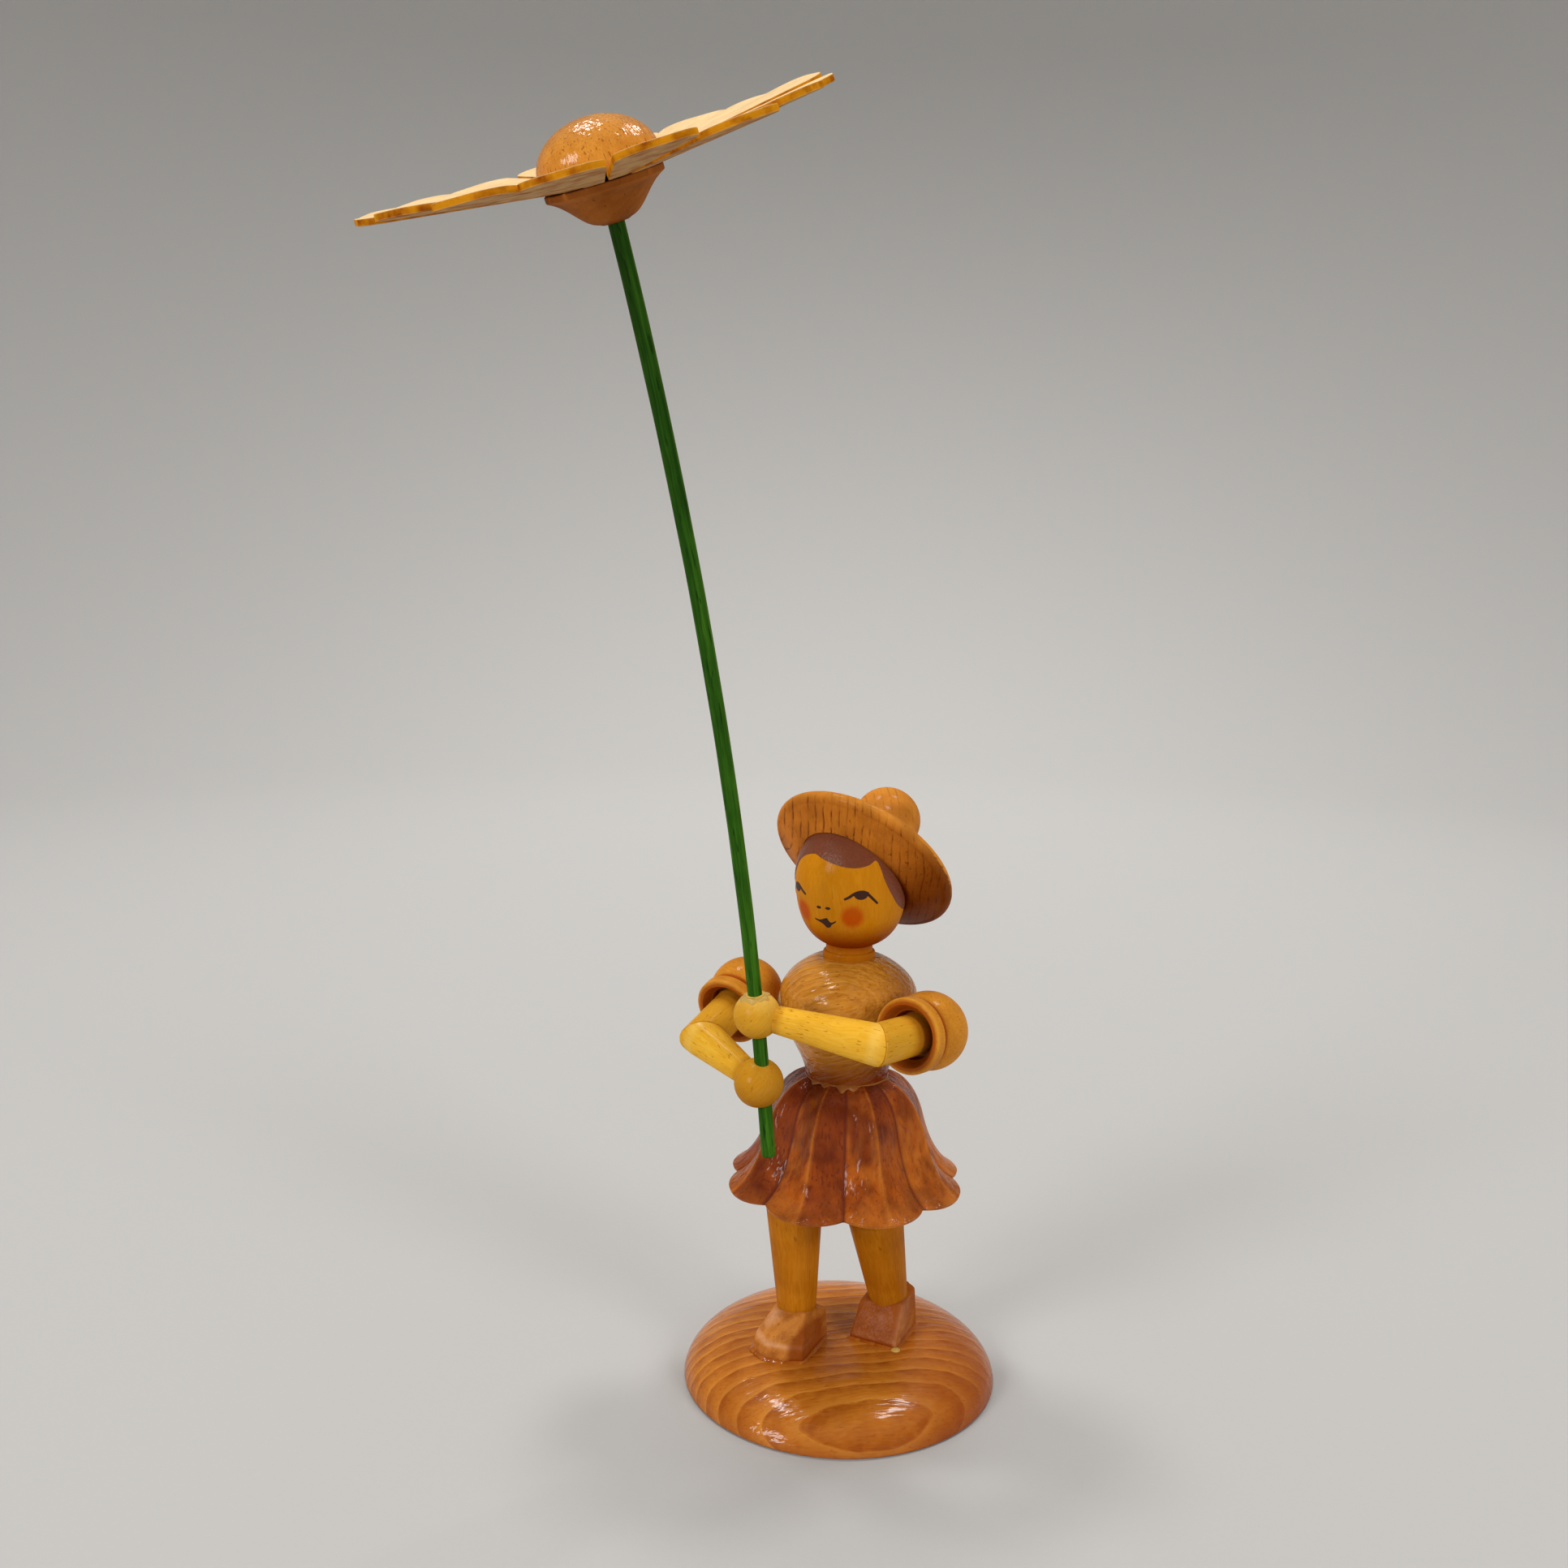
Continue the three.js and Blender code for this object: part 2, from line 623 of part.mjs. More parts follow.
// The arm's bore stops short of the dowel that crosses the sleeve
const armSocket = DOWEL_RADIUS + 2 * FIT_GAP + DOWEL_WALL;

function upperArmGeometry(grow, length) {
  return peg(ARM_RADIUS + grow, armSocket - grow, length, MEDIUM);
}

function forearmProfile(length, hand) {
  return corners(
    [0, -2 * ARM_RADIUS], [ARM_RADIUS, -2 * ARM_RADIUS], [ARM_RADIUS, 0],
    [WRIST_RADIUS, length - hand], [WRIST_RADIUS, length], [0, length]);
}

const shoulderSpread = TORSO_RADIUS + FIT_GAP + SLEEVE_RADIUS;
const MITRE_BLOCK = 4 * ARM_RADIUS;

for (const [side, arm] of Object.entries(ARMS)) {
  const outward = new THREE.Vector3(arm.side * Math.cos(arm.setForward), -Math.sin(arm.setForward), 0);
  const shoulder = outward.clone().multiplyScalar(shoulderSpread).setZ(shoulderHeight);
  const heading = new THREE.Euler(Math.PI / 2 + arm.droop, 0, -arm.side * arm.turnIn, "ZYX");
  const sleeveFrame = frameAt(figure, shoulder);
  sleeveFrame.rotation.copy(heading);
  const sleeveSolid = turned(sleeveProfile(), MEDIUM, LIP_STEPS);
  const sleeve = piece(sleeveFrame, `sleeve_${side}`, sleeveSolid, WOOD.sleeve);
  carve(sleeve, upperArmGeometry(FIT_GAP, UPPER_ARM_LENGTH), sleeveFrame);

  // Dowel from the torso into the sleeve
  const dowelFrame = frameAt(figure, shoulder, outward);
  const inner = -SLEEVE_RADIUS - DOWEL_TORSO_DEPTH;
  const outer = DOWEL_SLEEVE_DEPTH - SLEEVE_RADIUS;
  piece(dowelFrame, `shoulder_dowel_${side}`, peg(DOWEL_RADIUS, inner, outer), WOOD.dowel);
  const dowelHole = peg(DOWEL_RADIUS + FIT_GAP, inner - FIT_GAP, outer + FIT_GAP);
  carve(sleeve, dowelHole, dowelFrame);
  carve(torso, dowelHole, dowelFrame);

  // Elbow mitre, and the forearm from there to the hand
  const elbow = pointIn(figure, sleeveFrame, new THREE.Vector3(0, 0, UPPER_ARM_LENGTH));
  const hand = stemLine.pointAt(-arm.below).add(new THREE.Vector3(arm.side * arm.aside, 0, 0));
  const reach = hand.clone().sub(elbow);
  const length = reach.length();
  const along = elbow.clone().sub(shoulder).normalize();
  const mitre = frameAt(figure, elbow, along.add(reach.clone().normalize()));
  const block = new THREE.BoxGeometry(MITRE_BLOCK, MITRE_BLOCK, MITRE_BLOCK);
  const ahead = block.clone().translate(0, 0, (MITRE_BLOCK - FIT_GAP) / 2);
  const behind = block.clone().translate(0, 0, (FIT_GAP - MITRE_BLOCK) / 2);
  const upperSolid = upperArmGeometry(0, UPPER_ARM_LENGTH + 2 * ARM_RADIUS);
  const upper = piece(sleeveFrame, `upper_arm_${side}`, upperSolid, WOOD.arm);
  carve(upper, ahead, mitre);

  const forearmFrame = frameAt(figure, elbow, reach);
  const forearmSolid = turned(forearmProfile(length, arm.hand), MEDIUM);
  const forearm = piece(forearmFrame, `forearm_${side}`, forearmSolid, WOOD.arm);
  const handFrame = frameAt(figure, hand);
  carve(forearm, behind, mitre);
  carve(forearm, ball(arm.hand + FIT_GAP), handFrame);

  // A peg at the wrist, which stops short of the stem
  const pegEnd = length - STEM_RADIUS - 2 * FIT_GAP - WRIST_PEG_WALL - arm.aside;
  const wristPeg = peg(WRIST_PEG_RADIUS, length - arm.hand - WRIST_RADIUS, pegEnd);
  forearm.geometry = join(forearm.geometry, wristPeg);
  const palm = piece(handFrame, `hand_${side}`, ball(arm.hand), WOOD.arm);
  const wristHole = peg(WRIST_PEG_RADIUS + FIT_GAP, length - 2 * arm.hand, pegEnd + FIT_GAP);
  carve(palm, wristHole, forearmFrame);
  carve(palm, stemGeometry(FIT_GAP), figure);
}

// Flower: calyx on the stem's end, petals laid on its dished top, and the button pegged over them

const flower = frameAt(figure, stemLine.pointAt(STEM_REACH));
flower.rotation.set(stemLine.leanAt(STEM_REACH) + FLOWER_NOD, -FLOWER_SIDE_LEAN, 0);

function calyxProfile() {
  const rim = CALYX_HEIGHT - CALYX_LEDGE;
  const profile = new THREE.Path();
  profile.moveTo(0, 0);
  profile.lineTo(CALYX_NECK_RADIUS, 0);
  curveTo(profile, CALYX_RADIUS, rim, CALYX_BOWL);
  profile.lineTo(CALYX_RADIUS, CALYX_HEIGHT);
  profile.lineTo(0, hub);
  return profile;
}

const calyx = piece(flower, "calyx", turned(calyxProfile(), MEDIUM), WOOD.calyx);
carve(calyx, stemGeometry(FIT_GAP), figure);

function buttonProfile() {
  const foot = hub + slot;
  const widest = foot + BUTTON_RADIUS * dish + BUTTON_BELLY;
  const seat = BUTTON_RADIUS - BUTTON_BELLY;
  const profile = new THREE.Path();
  profile.moveTo(0, foot);
  profile.lineTo(seat, foot + seat * dish);
  profile.quadraticCurveTo(BUTTON_RADIUS, foot + BUTTON_RADIUS * dish, BUTTON_RADIUS, widest);
  profile.absellipse(0, widest, BUTTON_RADIUS, BUTTON_RISE, 0, Math.PI / 2, false);
  return profile;
}

const button = piece(flower, "flower_button", turned(buttonProfile(), MEDIUM), WOOD.button);
carve(button, stemGeometry(FIT_GAP), figure);

function petalGeometry() {
  const outline = roundedPetal();
  return new THREE.ExtrudeGeometry(outline, {
    depth: PETAL_THICKNESS, bevelEnabled: false, curveSegments: 4,
  });
}

// A tongue that widens from its root and ends in two rounded corners
function roundedPetal() {
  const shoulder = PETAL_TIP_RADIUS - PETAL_CORNER;
  const tip = PETAL_TIP_WIDTH / 2;
  const outline = new THREE.Shape();
  outline.moveTo(PETAL_ROOT_RADIUS, -PETAL_ROOT_WIDTH / 2);
  outline.lineTo(shoulder, -tip);
  outline.quadraticCurveTo(PETAL_TIP_RADIUS - PETAL_END_ROUND, -tip, PETAL_TIP_RADIUS, -tip + PETAL_CORNER);
  outline.lineTo(PETAL_TIP_RADIUS, tip - PETAL_CORNER);
  outline.quadraticCurveTo(PETAL_TIP_RADIUS - PETAL_END_ROUND, tip, shoulder, tip);
  outline.lineTo(PETAL_ROOT_RADIUS, PETAL_ROOT_WIDTH / 2);
  outline.closePath();
  return outline;
}

for (let i = 0; i < PETAL_COUNT; i += 1) {
  const spoke = frameAt(flower, new THREE.Vector3(0, 0, hub));
  spoke.rotation.z = PETAL_PHASE + (2 * Math.PI * i) / PETAL_COUNT;
  const petal = piece(spoke, `petal_${String(i + 1).padStart(2, "0")}`, petalGeometry(), WOOD.petal);
  petal.position.z = FIT_GAP / Math.cos(PETAL_RAISE);
  petal.rotation.y = -PETAL_RAISE;
}

export default root;
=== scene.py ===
"""Dresses a wooden flower child figurine: smooth turnings, carved skirt, veneer petals and stains."""

import math
from functools import partial

import bmesh
import bpy
from bpy.props import FloatProperty, FloatVectorProperty, IntProperty, PointerProperty
from mathutils import Matrix, Vector, noise


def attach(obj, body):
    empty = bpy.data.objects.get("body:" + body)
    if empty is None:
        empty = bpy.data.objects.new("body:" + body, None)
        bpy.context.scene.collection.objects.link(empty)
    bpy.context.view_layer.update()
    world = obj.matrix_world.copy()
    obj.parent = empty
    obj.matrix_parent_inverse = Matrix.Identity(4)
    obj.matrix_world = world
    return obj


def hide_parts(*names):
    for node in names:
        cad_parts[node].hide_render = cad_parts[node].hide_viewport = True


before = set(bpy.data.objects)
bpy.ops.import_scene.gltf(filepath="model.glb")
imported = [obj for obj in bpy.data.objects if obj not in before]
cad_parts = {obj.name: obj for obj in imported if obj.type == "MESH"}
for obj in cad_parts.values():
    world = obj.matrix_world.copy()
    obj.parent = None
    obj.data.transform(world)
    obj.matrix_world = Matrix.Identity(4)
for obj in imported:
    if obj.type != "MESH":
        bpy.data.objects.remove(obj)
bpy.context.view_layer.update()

bl_info = {
    "name": "Flower Child Figurine",
    "version": (1, 0, 0),
    "blender": (4, 5, 0),
    "location": "View3D > Sidebar > Flower Child",
    "description": "Builds a turned and carved wooden girl who holds a long-stemmed daisy",
    "category": "Add Mesh",
}

MM = 0.001
BODY = "root"
UP = Vector((0, 0, 1))
FIT_GAP = 0.3
# How far the flower's seats close up, so that no light shows through the glue lines
SEATED = FIT_GAP * 0.6

# Sizes of the figurine in millimetres, as its solids have them
STAND = Vector((0.25, 0.2, 6.2))
BASE_SHOULDER = 11.5
SHOE_HEIGHT = 4.4
SHOE_HEEL_LENGTH = 3.3
SHOE_HEEL_WIDTH = 6.4
# Corners of each toe round the sole, from the girl's right to her left
SHOE_TOES = {
    "left": [(-3.65, -5.4), (3.65, -5.3)],
    "right": [(-3.4, -5.0), (-2.72, -6.55), (0.1, -7.6), (3.05, -6.6), (5.1, -5.2)],
}
# Chisel cuts over each shoe: three points that lie on each cut
SHOE_CUTS = {
    "left": [
        [(3.6, -5.15, 0.45), (-3.65, -5.3, 0.45), (0, -2.75, 4.5)],
        [(-2, -2.7, 4.75), (2, -2.7, 4.75), (0, 3.3, 6.3)],
        [(3.3, 3.0, 5.2), (3.35, -1.7, 4.6), (1.5, 1.0, 6.0)],
        [(-3.3, 3.0, 5.5), (-3.6, -2.6, 4.1), (-2.2, 0.0, 5.7)],
        [(3.62, -5.2, 0.3), (3.4, -1.7, 4.6), (2.1, -3.0, 4.1)],
        [(-3.65, -5.1, 0.5), (-2.6, -5.4, 0.5), (-3.0, -3.4, 3.4)],
    ],
    "right": [
        [(3.05, -6.5, 1.95), (0.1, -7.5, 1.6), (0.9, -2.5, 4.9)],
        [(5.0, -5.1, 2.15), (3.0, -6.5, 1.95), (1.8, -2.2, 4.9)],
        [(5.0, -5.1, 2.15), (3.45, 3.0, 3.2), (2.6, -0.5, 4.9)],
        [(0.1, -7.5, 1.6), (-2.7, -6.3, 1.25), (-0.9, -2.5, 4.8)],
        [(-3.35, -5.0, 1.3), (-3.1, 3.0, 3.0), (-2.6, -0.8, 4.8)],
        [(-2, -1.5, 5.0), (2, -1.5, 5.0), (0, 3.0, 4.1)],
    ],
}
LEG_RISE = 21.3
LEG_TOP_RADIUS = 4.05
LEG_ANKLE_RADIUS = 2.8
LEG_TAPER_RISE = 15
STANCE = {
    "left": {"foot": (4.5, 5.4), "hip": (4.6, -0.8), "turn": math.radians(9.5)},
    "right": {"foot": (-4.3, -5.2), "hip": (-5.3, -5.2), "turn": 0.0},
}
SKIRT_HEIGHT = 16.0
SKIRT_WAIST_RADIUS = 6.0
SKIRT_HIP_RADIUS = 12.1
SKIRT_HIP_HEIGHT = 8.6
SKIRT_HOLLOW = 3.1
SKIRT_HEM_WALL = 1.1
FLUTE_PHASE = math.radians(-55)
HEM_SCALLOP = 0.4
FACET_HOLLOW = 0.2
TORSO_HEIGHT = 16.8
TORSO_RADIUS = 9.6
TORSO_WAIST_RADIUS = 5.85
TORSO_CHEST_HEIGHT = 11.6
TORSO_TOP_RADIUS = 4.4
SHOULDER_HEIGHT = 9.7
NECK_RADIUS = 3.3
NECK_HEIGHT = 1.7
NECK_BEAD = 0.35
HEAD_CHIN = 9.4
HEAD_TOP = 9.0
HEAD_SEAT = 0.9
HEAD_NOD = math.radians(6)
HAT_TILT = math.radians(50)
BRIM_RISE = 3.8
BRIM_THICKNESS = 1.9
CROWN_WALL = 1.3
HAT_RIM = 0.8
CROWN_HEIGHT = 16.1
CROWN_FOOT_RISE = 2.2
CUFF_RADIUS = 5.1
CUFF_LENGTH = 2.3
CUFF_WALL = 1.0
CUFF_RECESS = 1.1
GROOVE_DEPTH = 0.8
BORE_DEPTH = 2.4
UPPER_ARM_LENGTH = 11.6
WRIST_RADIUS = 1.85
ARMS = {
    "left": {"side": 1, "forward": math.radians(10), "droop": math.radians(-4.5),
             "turn": math.radians(2), "below": 0.0, "aside": 0.0},
    "right": {"side": -1, "forward": math.radians(19.7), "droop": math.radians(17.8),
              "turn": math.radians(6.5), "below": 9.9, "aside": 0.75},
}
STEM_BOW_RADIUS = 460.0
STEM_GRIP_LEAN = math.radians(9.2)
STEM_TAIL = 20.4
STEM_REACH = 98.2
GRIP = Vector((-0.3, -20.2, 3.3))
FLOWER_NOD = math.radians(2.2)
FLOWER_SIDE_LEAN = math.radians(2.3)
CALYX_RADIUS = 6.6
CALYX_HEIGHT = 4.1
CALYX_NECK_RADIUS = 1.9
CALYX_LEDGE = 0.6
BUTTON_RISE = 4.9
BUTTON_BELLY = 0.3
PETAL_ROOT_RADIUS = 4.0
PETAL_ROOT_WIDTH = 1.2
PETAL_CORNER = 2.6
PETAL_RAISE = math.radians(6.5)
PETAL_PHASE = math.radians(12)

# Heights above the base's top, built up from the sizes
ANKLE = SHOE_HEIGHT + FIT_GAP
HIP = ANKLE + LEG_RISE
HEM = HIP + FIT_GAP - SKIRT_HOLLOW
WAIST = HEM + SKIRT_HEIGHT + FIT_GAP
COLLAR = WAIST + TORSO_HEIGHT + FIT_GAP
HEAD = COLLAR + NECK_HEIGHT + FIT_GAP + HEAD_CHIN - HEAD_SEAT
SHOULDER = WAIST + SHOULDER_HEIGHT

# The painted face: degrees round the head from its middle, and millimetres above its widest ring
FACE_TURN = math.radians(5.4)
EYE_LID = [(23, -0.32), (28, -0.02), (33, 0.4), (39, 0.62), (45, 0.5), (51, -0.3), (57.5, -1.3)]
EYE_LID_WIDTH = 0.42
PUPIL = (40.5, 0.5)
PUPIL_SIZE = (7.8, 0.92)
NOSTRIL = (5.3, -1.7)
NOSTRIL_SIZE = (2.8, 0.18)
MOUTH_TOP = [
    (-12.5, -3.45), (-6.6, -3.56), (-1.9, -3.37), (2.8, -3.18), (4.2, -3.45), (6.8, -3.8), (10.2, -3.67),
    (13, -3.45),
]
MOUTH_BOTTOM = [
    (13, -3.64), (10.2, -3.92), (7.8, -4.1), (5.3, -4.52), (1.2, -4.64), (-2.4, -4.18), (-6.6, -3.91),
    (-12.5, -3.65),
]
CHEEK = (30.5, -2.9)
CHEEK_RADIUS = 1.8
HAIRLINE = [
    (-180, -4.6), (-120, -4.4), (-90, -2.9), (-72, -1.6), (-60, 0.4), (-52, 2.2), (-46, 3.7), (-35, 4.7),
    (-18, 5.25), (-5, 4.9), (10, 4.4), (24, 4.0), (38, 3.8), (52, 4.0), (62, 4.4), (65.5, 3.2), (68, 1.6),
    (76, -0.6), (90, -2.8), (120, -4.4), (180, -4.6),
]

FILM_LIFT = 0.035
FILM_DEPTH = 0.08
HAIR_LIFT = 0.10
HAIR_DEPTH = 0.25
HAIR_TOP = 0.995 * HEAD_TOP

# Hearts of the sawn boards: where the growth rings centre, as the grain sees it
BASE_HEART = (0, 26, -12)
BASE_BOARD_TURN = math.radians(13)
TORSO_HEART = (0, 15, -TORSO_CHEST_HEIGHT)
STEM_HEART = Vector((0.4, 0.2, 0))
# Where the painted highlight runs down the stem, round from its left side
STEM_STREAK_TURN = 0.9

# Finish of the carving and the joints
SHOE_BLOCK = 30
SOLE_DRAFT = 0.05
SHOE_ROUNDING = 0.13
SHOE_SANDING = 16
HEM_ROUND_BELOW = 0.8
HEM_CRISP_ABOVE = 7.5
LOBE_POWER = 2.2
WAIST_FADE = 0.42
SKIRT_SHARP = math.radians(14)
MITRE_CHAMFER = 0.14
MITRE_GLUE = 0.02
HAT_EASE = 1.02
PETAL_BEVEL = 0.09
SOLE_GLUE_STEP = 0.45
HAND_GLUE_RING = 1.79
# Beads of glue at the waist, as (degrees round from the camera, size)
WAIST_DROPS = [(-47, 0.5), (-28, 0.6), (-5.5, 0.85), (9.5, 0.6), (70, 0.4), (150, 0.5), (215, 0.4)]
WAIST_DROP_WIDTH = math.radians(5.5)

# How finely the pieces are drawn
AROUND = 128
FINE_AROUND = 192
HEAD_AROUND = 240
SKIRT_AROUND = 320
CURVE_STEPS = 18
STEM_STEPS = 150
STEM_AROUND = 32
UPPER_ARM_STEPS = 13
FOREARM_STEPS = 18
ARM_AROUND = 64
HAND_AROUND = 96
FILM_STEPS = 16
FILM_ROWS = 6
HAIR_STEPS = 26
WAIST_AROUND = 160
SHARP = math.radians(38)

# Wood under its varnish
WOOD_IOR = 1.5
VARNISH_IOR = 1.32

# The sweep in millimetres: flat floor, the bend behind it, and the top of the backdrop
FLOOR_RADIUS = 600
SWEEP_BEND = 700
BACKDROP_TOP = 1500
# Lamps: spot and aim in metres as the camera sees them, width, power, and whether the gloss mirrors them.
# The left window and the two boxes over and behind the girl are mirrored, the other two only fill.
LAMP_AIM = (0, 0, 0.08)
LAMPS = {
    "window_left": ((-0.64, -0.63, 0.42), LAMP_AIM, 0.3, 4.7, True),
    "window_right": ((0.68, -0.6, 0.42), LAMP_AIM, 0.3, 3.7, False),
    "soft_box_left": ((-0.3, 0.2, 0.9), LAMP_AIM, 0.16, 2.3, True),
    "soft_box_right": ((0.27, 0.24, 0.88), LAMP_AIM, 0.16, 2.1, True),
    "backdrop_wash": ((0, 0.6, 0.55), (0, 0.62, 0), 0.4, 2.0, False),
}
DAYLIGHT = 0.45


def linear(code):
    """An sRGB hex colour as linear red, green and blue."""
    parts = [int(code[i:i + 2], 16) / 255 for i in (1, 3, 5)]
    return tuple(c / 12.92 if c <= 0.04045 else ((c + 0.055) / 1.055) ** 2.4 for c in parts)


def clamp(value):
    return min(1.0, max(0.0, value))


def smooth_step(value, low, high):
    t = clamp((value - low) / (high - low))
    return t * t * (3 - 2 * t)


def shares(steps):
    """The even steps from just above 0 up to 1."""
    return [i / steps for i in range(1, steps + 1)]


def polar(radius, angle):
    return radius * math.cos(angle), radius * math.sin(angle)


# Settings

def millimetres(label, note, value):
    return FloatProperty(name=label, description=note, default=value * MM, unit="LENGTH", precision=5)


def angle_field(label, note, value):
    return FloatProperty(name=label, description=note, default=math.radians(value), subtype="ANGLE")


def count_field(label, note, value):
    return IntProperty(name=label, description=note, default=value, min=3)


def stain(label, note, code):
    return FloatVectorProperty(name=label, description=note, default=linear(code), size=3,
                               min=0, max=1, subtype="COLOR")


class FLOWERCHILD_PG_body(bpy.types.PropertyGroup):
    """Sizes of the girl and her base"""
    base_radius: millimetres("Base radius", "Half the width of the round base", 22.5)
    base_height: millimetres("Base height", "Thickness of the base at its middle", 5.9)
    hem_radius: millimetres("Hem radius", "How far the skirt's lobes reach out", 17)
    flute_count: count_field("Flutes", "Grooves carved round the skirt", 8)
    flute_depth: millimetres("Flute depth", "Depth of a groove at the hem", 1.7)
    head_radius: millimetres("Head radius", "Half the width of the head", 7.7)
    brim_radius: millimetres("Brim radius", "Half the width of the hat's brim", 13.6)
    crown_radius: millimetres("Crown radius", "Radius of the hat's round crown", 4.8)
    sleeve_radius: millimetres("Sleeve radius", "Radius of a sleeve's ball", 5.3)
    arm_radius: millimetres("Arm radius", "Radius of an arm at its elbow", 2.75)
    left_hand_radius: millimetres("Left hand", "Radius of the upper hand", 3.1)
    right_hand_radius: millimetres("Right hand", "Radius of the lower hand", 3.3)


class FLOWERCHILD_PG_flower(bpy.types.PropertyGroup):
    """Sizes of the daisy"""
    stem_radius: millimetres("Stem radius", "Half the thickness of the stem", 0.95)
    button_radius: millimetres("Button radius", "Half the width of the flower's button", 6.75)
    petal_count: count_field("Petals", "Petals round the flower", 16)
    petal_tip_radius: millimetres("Petal reach", "From the flower's middle to a petal's tip", 26.3)
    petal_tip_width: millimetres("Petal width", "Width of a petal near its tip", 8.4)
    petal_thickness: millimetres("Petal thickness", "Thickness of the veneer", 0.7)


class FLOWERCHILD_PG_stains(bpy.types.PropertyGroup):
    """The stain that each wood mostly shows"""
    base: stain("Base", "Honey stain under gloss varnish", "#BE6E1C")
    shoe: stain("Shoes", "Reddish brown stain", "#C47A34")
    leg: stain("Legs", "Golden stain", "#B4680C")
    skirt: stain("Skirt", "Mahogany stain under gloss varnish", "#9C460E")
    torso: stain("Torso", "Golden brown stain", "#C07A1C")
    face: stain("Face", "Golden stain", "#C47A0C")
    hat: stain("Hat", "Orange brown stain", "#BE6C1E")
    sleeve: stain("Sleeves", "Orange brown stain", "#C47C24")
    arm: stain("Arms", "Pale yellow wood", "#E0A428")
    stem: stain("Stem", "Green stain", "#25500F")
    calyx: stain("Calyx", "Red brown stain", "#9E5A22")
    button: stain("Button", "Golden stain under gloss varnish", "#CC822A")
    petal: stain("Petals", "Pale veneer", "#EBCB94")
    dowel: stain("Dowels", "Bare wood", "#D9B98A")


class FLOWERCHILD_PG_studio(bpy.types.PropertyGroup):
    """Camera and light"""
    lens: FloatProperty(name="Lens", description="Focal length on a 36 mm frame", default=34.66)
    distance: millimetres("Distance", "From the base's axis to the camera", 205.7)
    height: millimetres("Height", "Camera height above the floor", 118.7)
    azimuth: angle_field("Azimuth", "Turn of the camera from the girl's front", 35)
    pitch: angle_field("Pitch", "Downward tilt of the camera", 8.847)
    yaw: angle_field("Yaw", "Turn of the view to the left", 2.548)
    roll: angle_field("Roll", "Clockwise turn of the picture", 0.8)
    floor: stain("Floor", "Plain pale sweep", "#B7B5B2")


def mm(length):
    return length / MM


# Drawing

class Profile:
    """The outline of a turning, as (radius, height) points from its foot to its top."""

    def __init__(self, radius, height):
        self.points = [(radius, height)]

    def line(self, radius, height, steps=1):
        r0, h0 = self.points[-1]
        for t in shares(steps):
            self.points.append((r0 + (radius - r0) * t, h0 + (height - h0) * t))
        return self

    def curve(self, radius, height, leave, arrive, steps=CURVE_STEPS):
        start = Vector(self.points[-1])
        end = Vector((radius, height))
        first = start + Vector(leave)
        last = end + Vector(arrive)
        for t in shares(steps):
            s = 1 - t
            point = start * s ** 3 + first * 3 * s * s * t + last * 3 * s * t * t + end * t ** 3
            self.points.append(tuple(point))
        return self

    def arc(self, centre, radii, start, end, steps=CURVE_STEPS):
        for t in shares(steps):
            angle = start + (end - start) * t
            point = (centre[0] + radii[0] * math.cos(angle), centre[1] + radii[1] * math.sin(angle))
            self.points.append((max(0.0, point[0]), point[1]))
        return self


def linked(name, data):
    """An object in the scene that shows a mesh, lamp or camera."""
    item = bpy.data.objects.new(name, data)
    bpy.context.scene.collection.objects.link(item)
    return item


def body(name, points, faces, place):
    """A mesh object from points in millimetres, with its place put into the mesh."""
    mesh = bpy.data.meshes.new(name)
    mesh.from_pydata([(place @ Vector(p)) * MM for p in points], [], faces)
    return linked(name, mesh)


def turned(name, profile, place, around=AROUND):
    """A turning about the local +Z axis. Points on the axis become single poles."""
    points = []
    rings = []
    for radius, height in profile.points:
        count = around if radius > 1e-6 else 1
        rings.append(range(len(points), len(points) + count))
        for j in range(count):
            angle = 2 * math.pi * j / around
            points.append((*polar(radius, angle), height))
    return body(name, points, skin(rings, around), place)


def skin(rings, around):
    faces = []
    for low, high in zip(rings, rings[1:]):
        for j in range(around):
            k = (j + 1) % around
            corners = (low[j % len(low)], low[k % len(low)], high[k % len(high)], high[j % len(high)])
            faces.append(list(dict.fromkeys(corners)))
    return faces


def lofted(name, sections, place):
    """A closed body through rings of points, with a pole in the middle of each end."""
    around = len(sections[0])
    points = [sum(sections[0], Vector()) / around]
    rings = [range(0, 1)]
    for section in sections:
        rings.append(range(len(points), len(points) + around))
        points += section
    rings.append(range(len(points), len(points) + 1))
    points.append(sum(sections[-1], Vector()) / around)
    return body(name, points, skin(rings, around), place)


def hoop(name, sections, place):
    """A closed ring through sections of points, with its faces outward."""
    around = len(sections[0])
    rings = [range(i * around, (i + 1) * around) for i in range(len(sections))]
    points = [p for section in sections for p in section]
    piece = body(name, points, skin(rings + rings[:1], around), place)
    outward(piece)
    return piece


def carved(piece, tool):
    """Cuts a tool out of a piece and keeps the result as a plain mesh."""
    cutter = piece.modifiers.new("carve", "BOOLEAN")
    cutter.operation = "DIFFERENCE"
    cutter.solver = "EXACT"
    cutter.object = tool
    settle(piece)
    bpy.data.objects.remove(tool)


def settle(piece):
    """Turns what the modifiers make into the piece's own mesh."""
    graph = bpy.context.evaluated_depsgraph_get()
    graph.update()
    mesh = bpy.data.meshes.new_from_object(piece.evaluated_get(graph))
    old = piece.data
    piece.modifiers.clear()
    piece.data = mesh
    bpy.data.meshes.remove(old)
    mesh.name = piece.name


def outward(piece):
    """Turns all faces of a closed piece to the outside."""
    shell = bmesh.new()
    shell.from_mesh(piece.data)
    bmesh.ops.recalc_face_normals(shell, faces=shell.faces[:])
    shell.to_mesh(piece.data)
    shell.free()


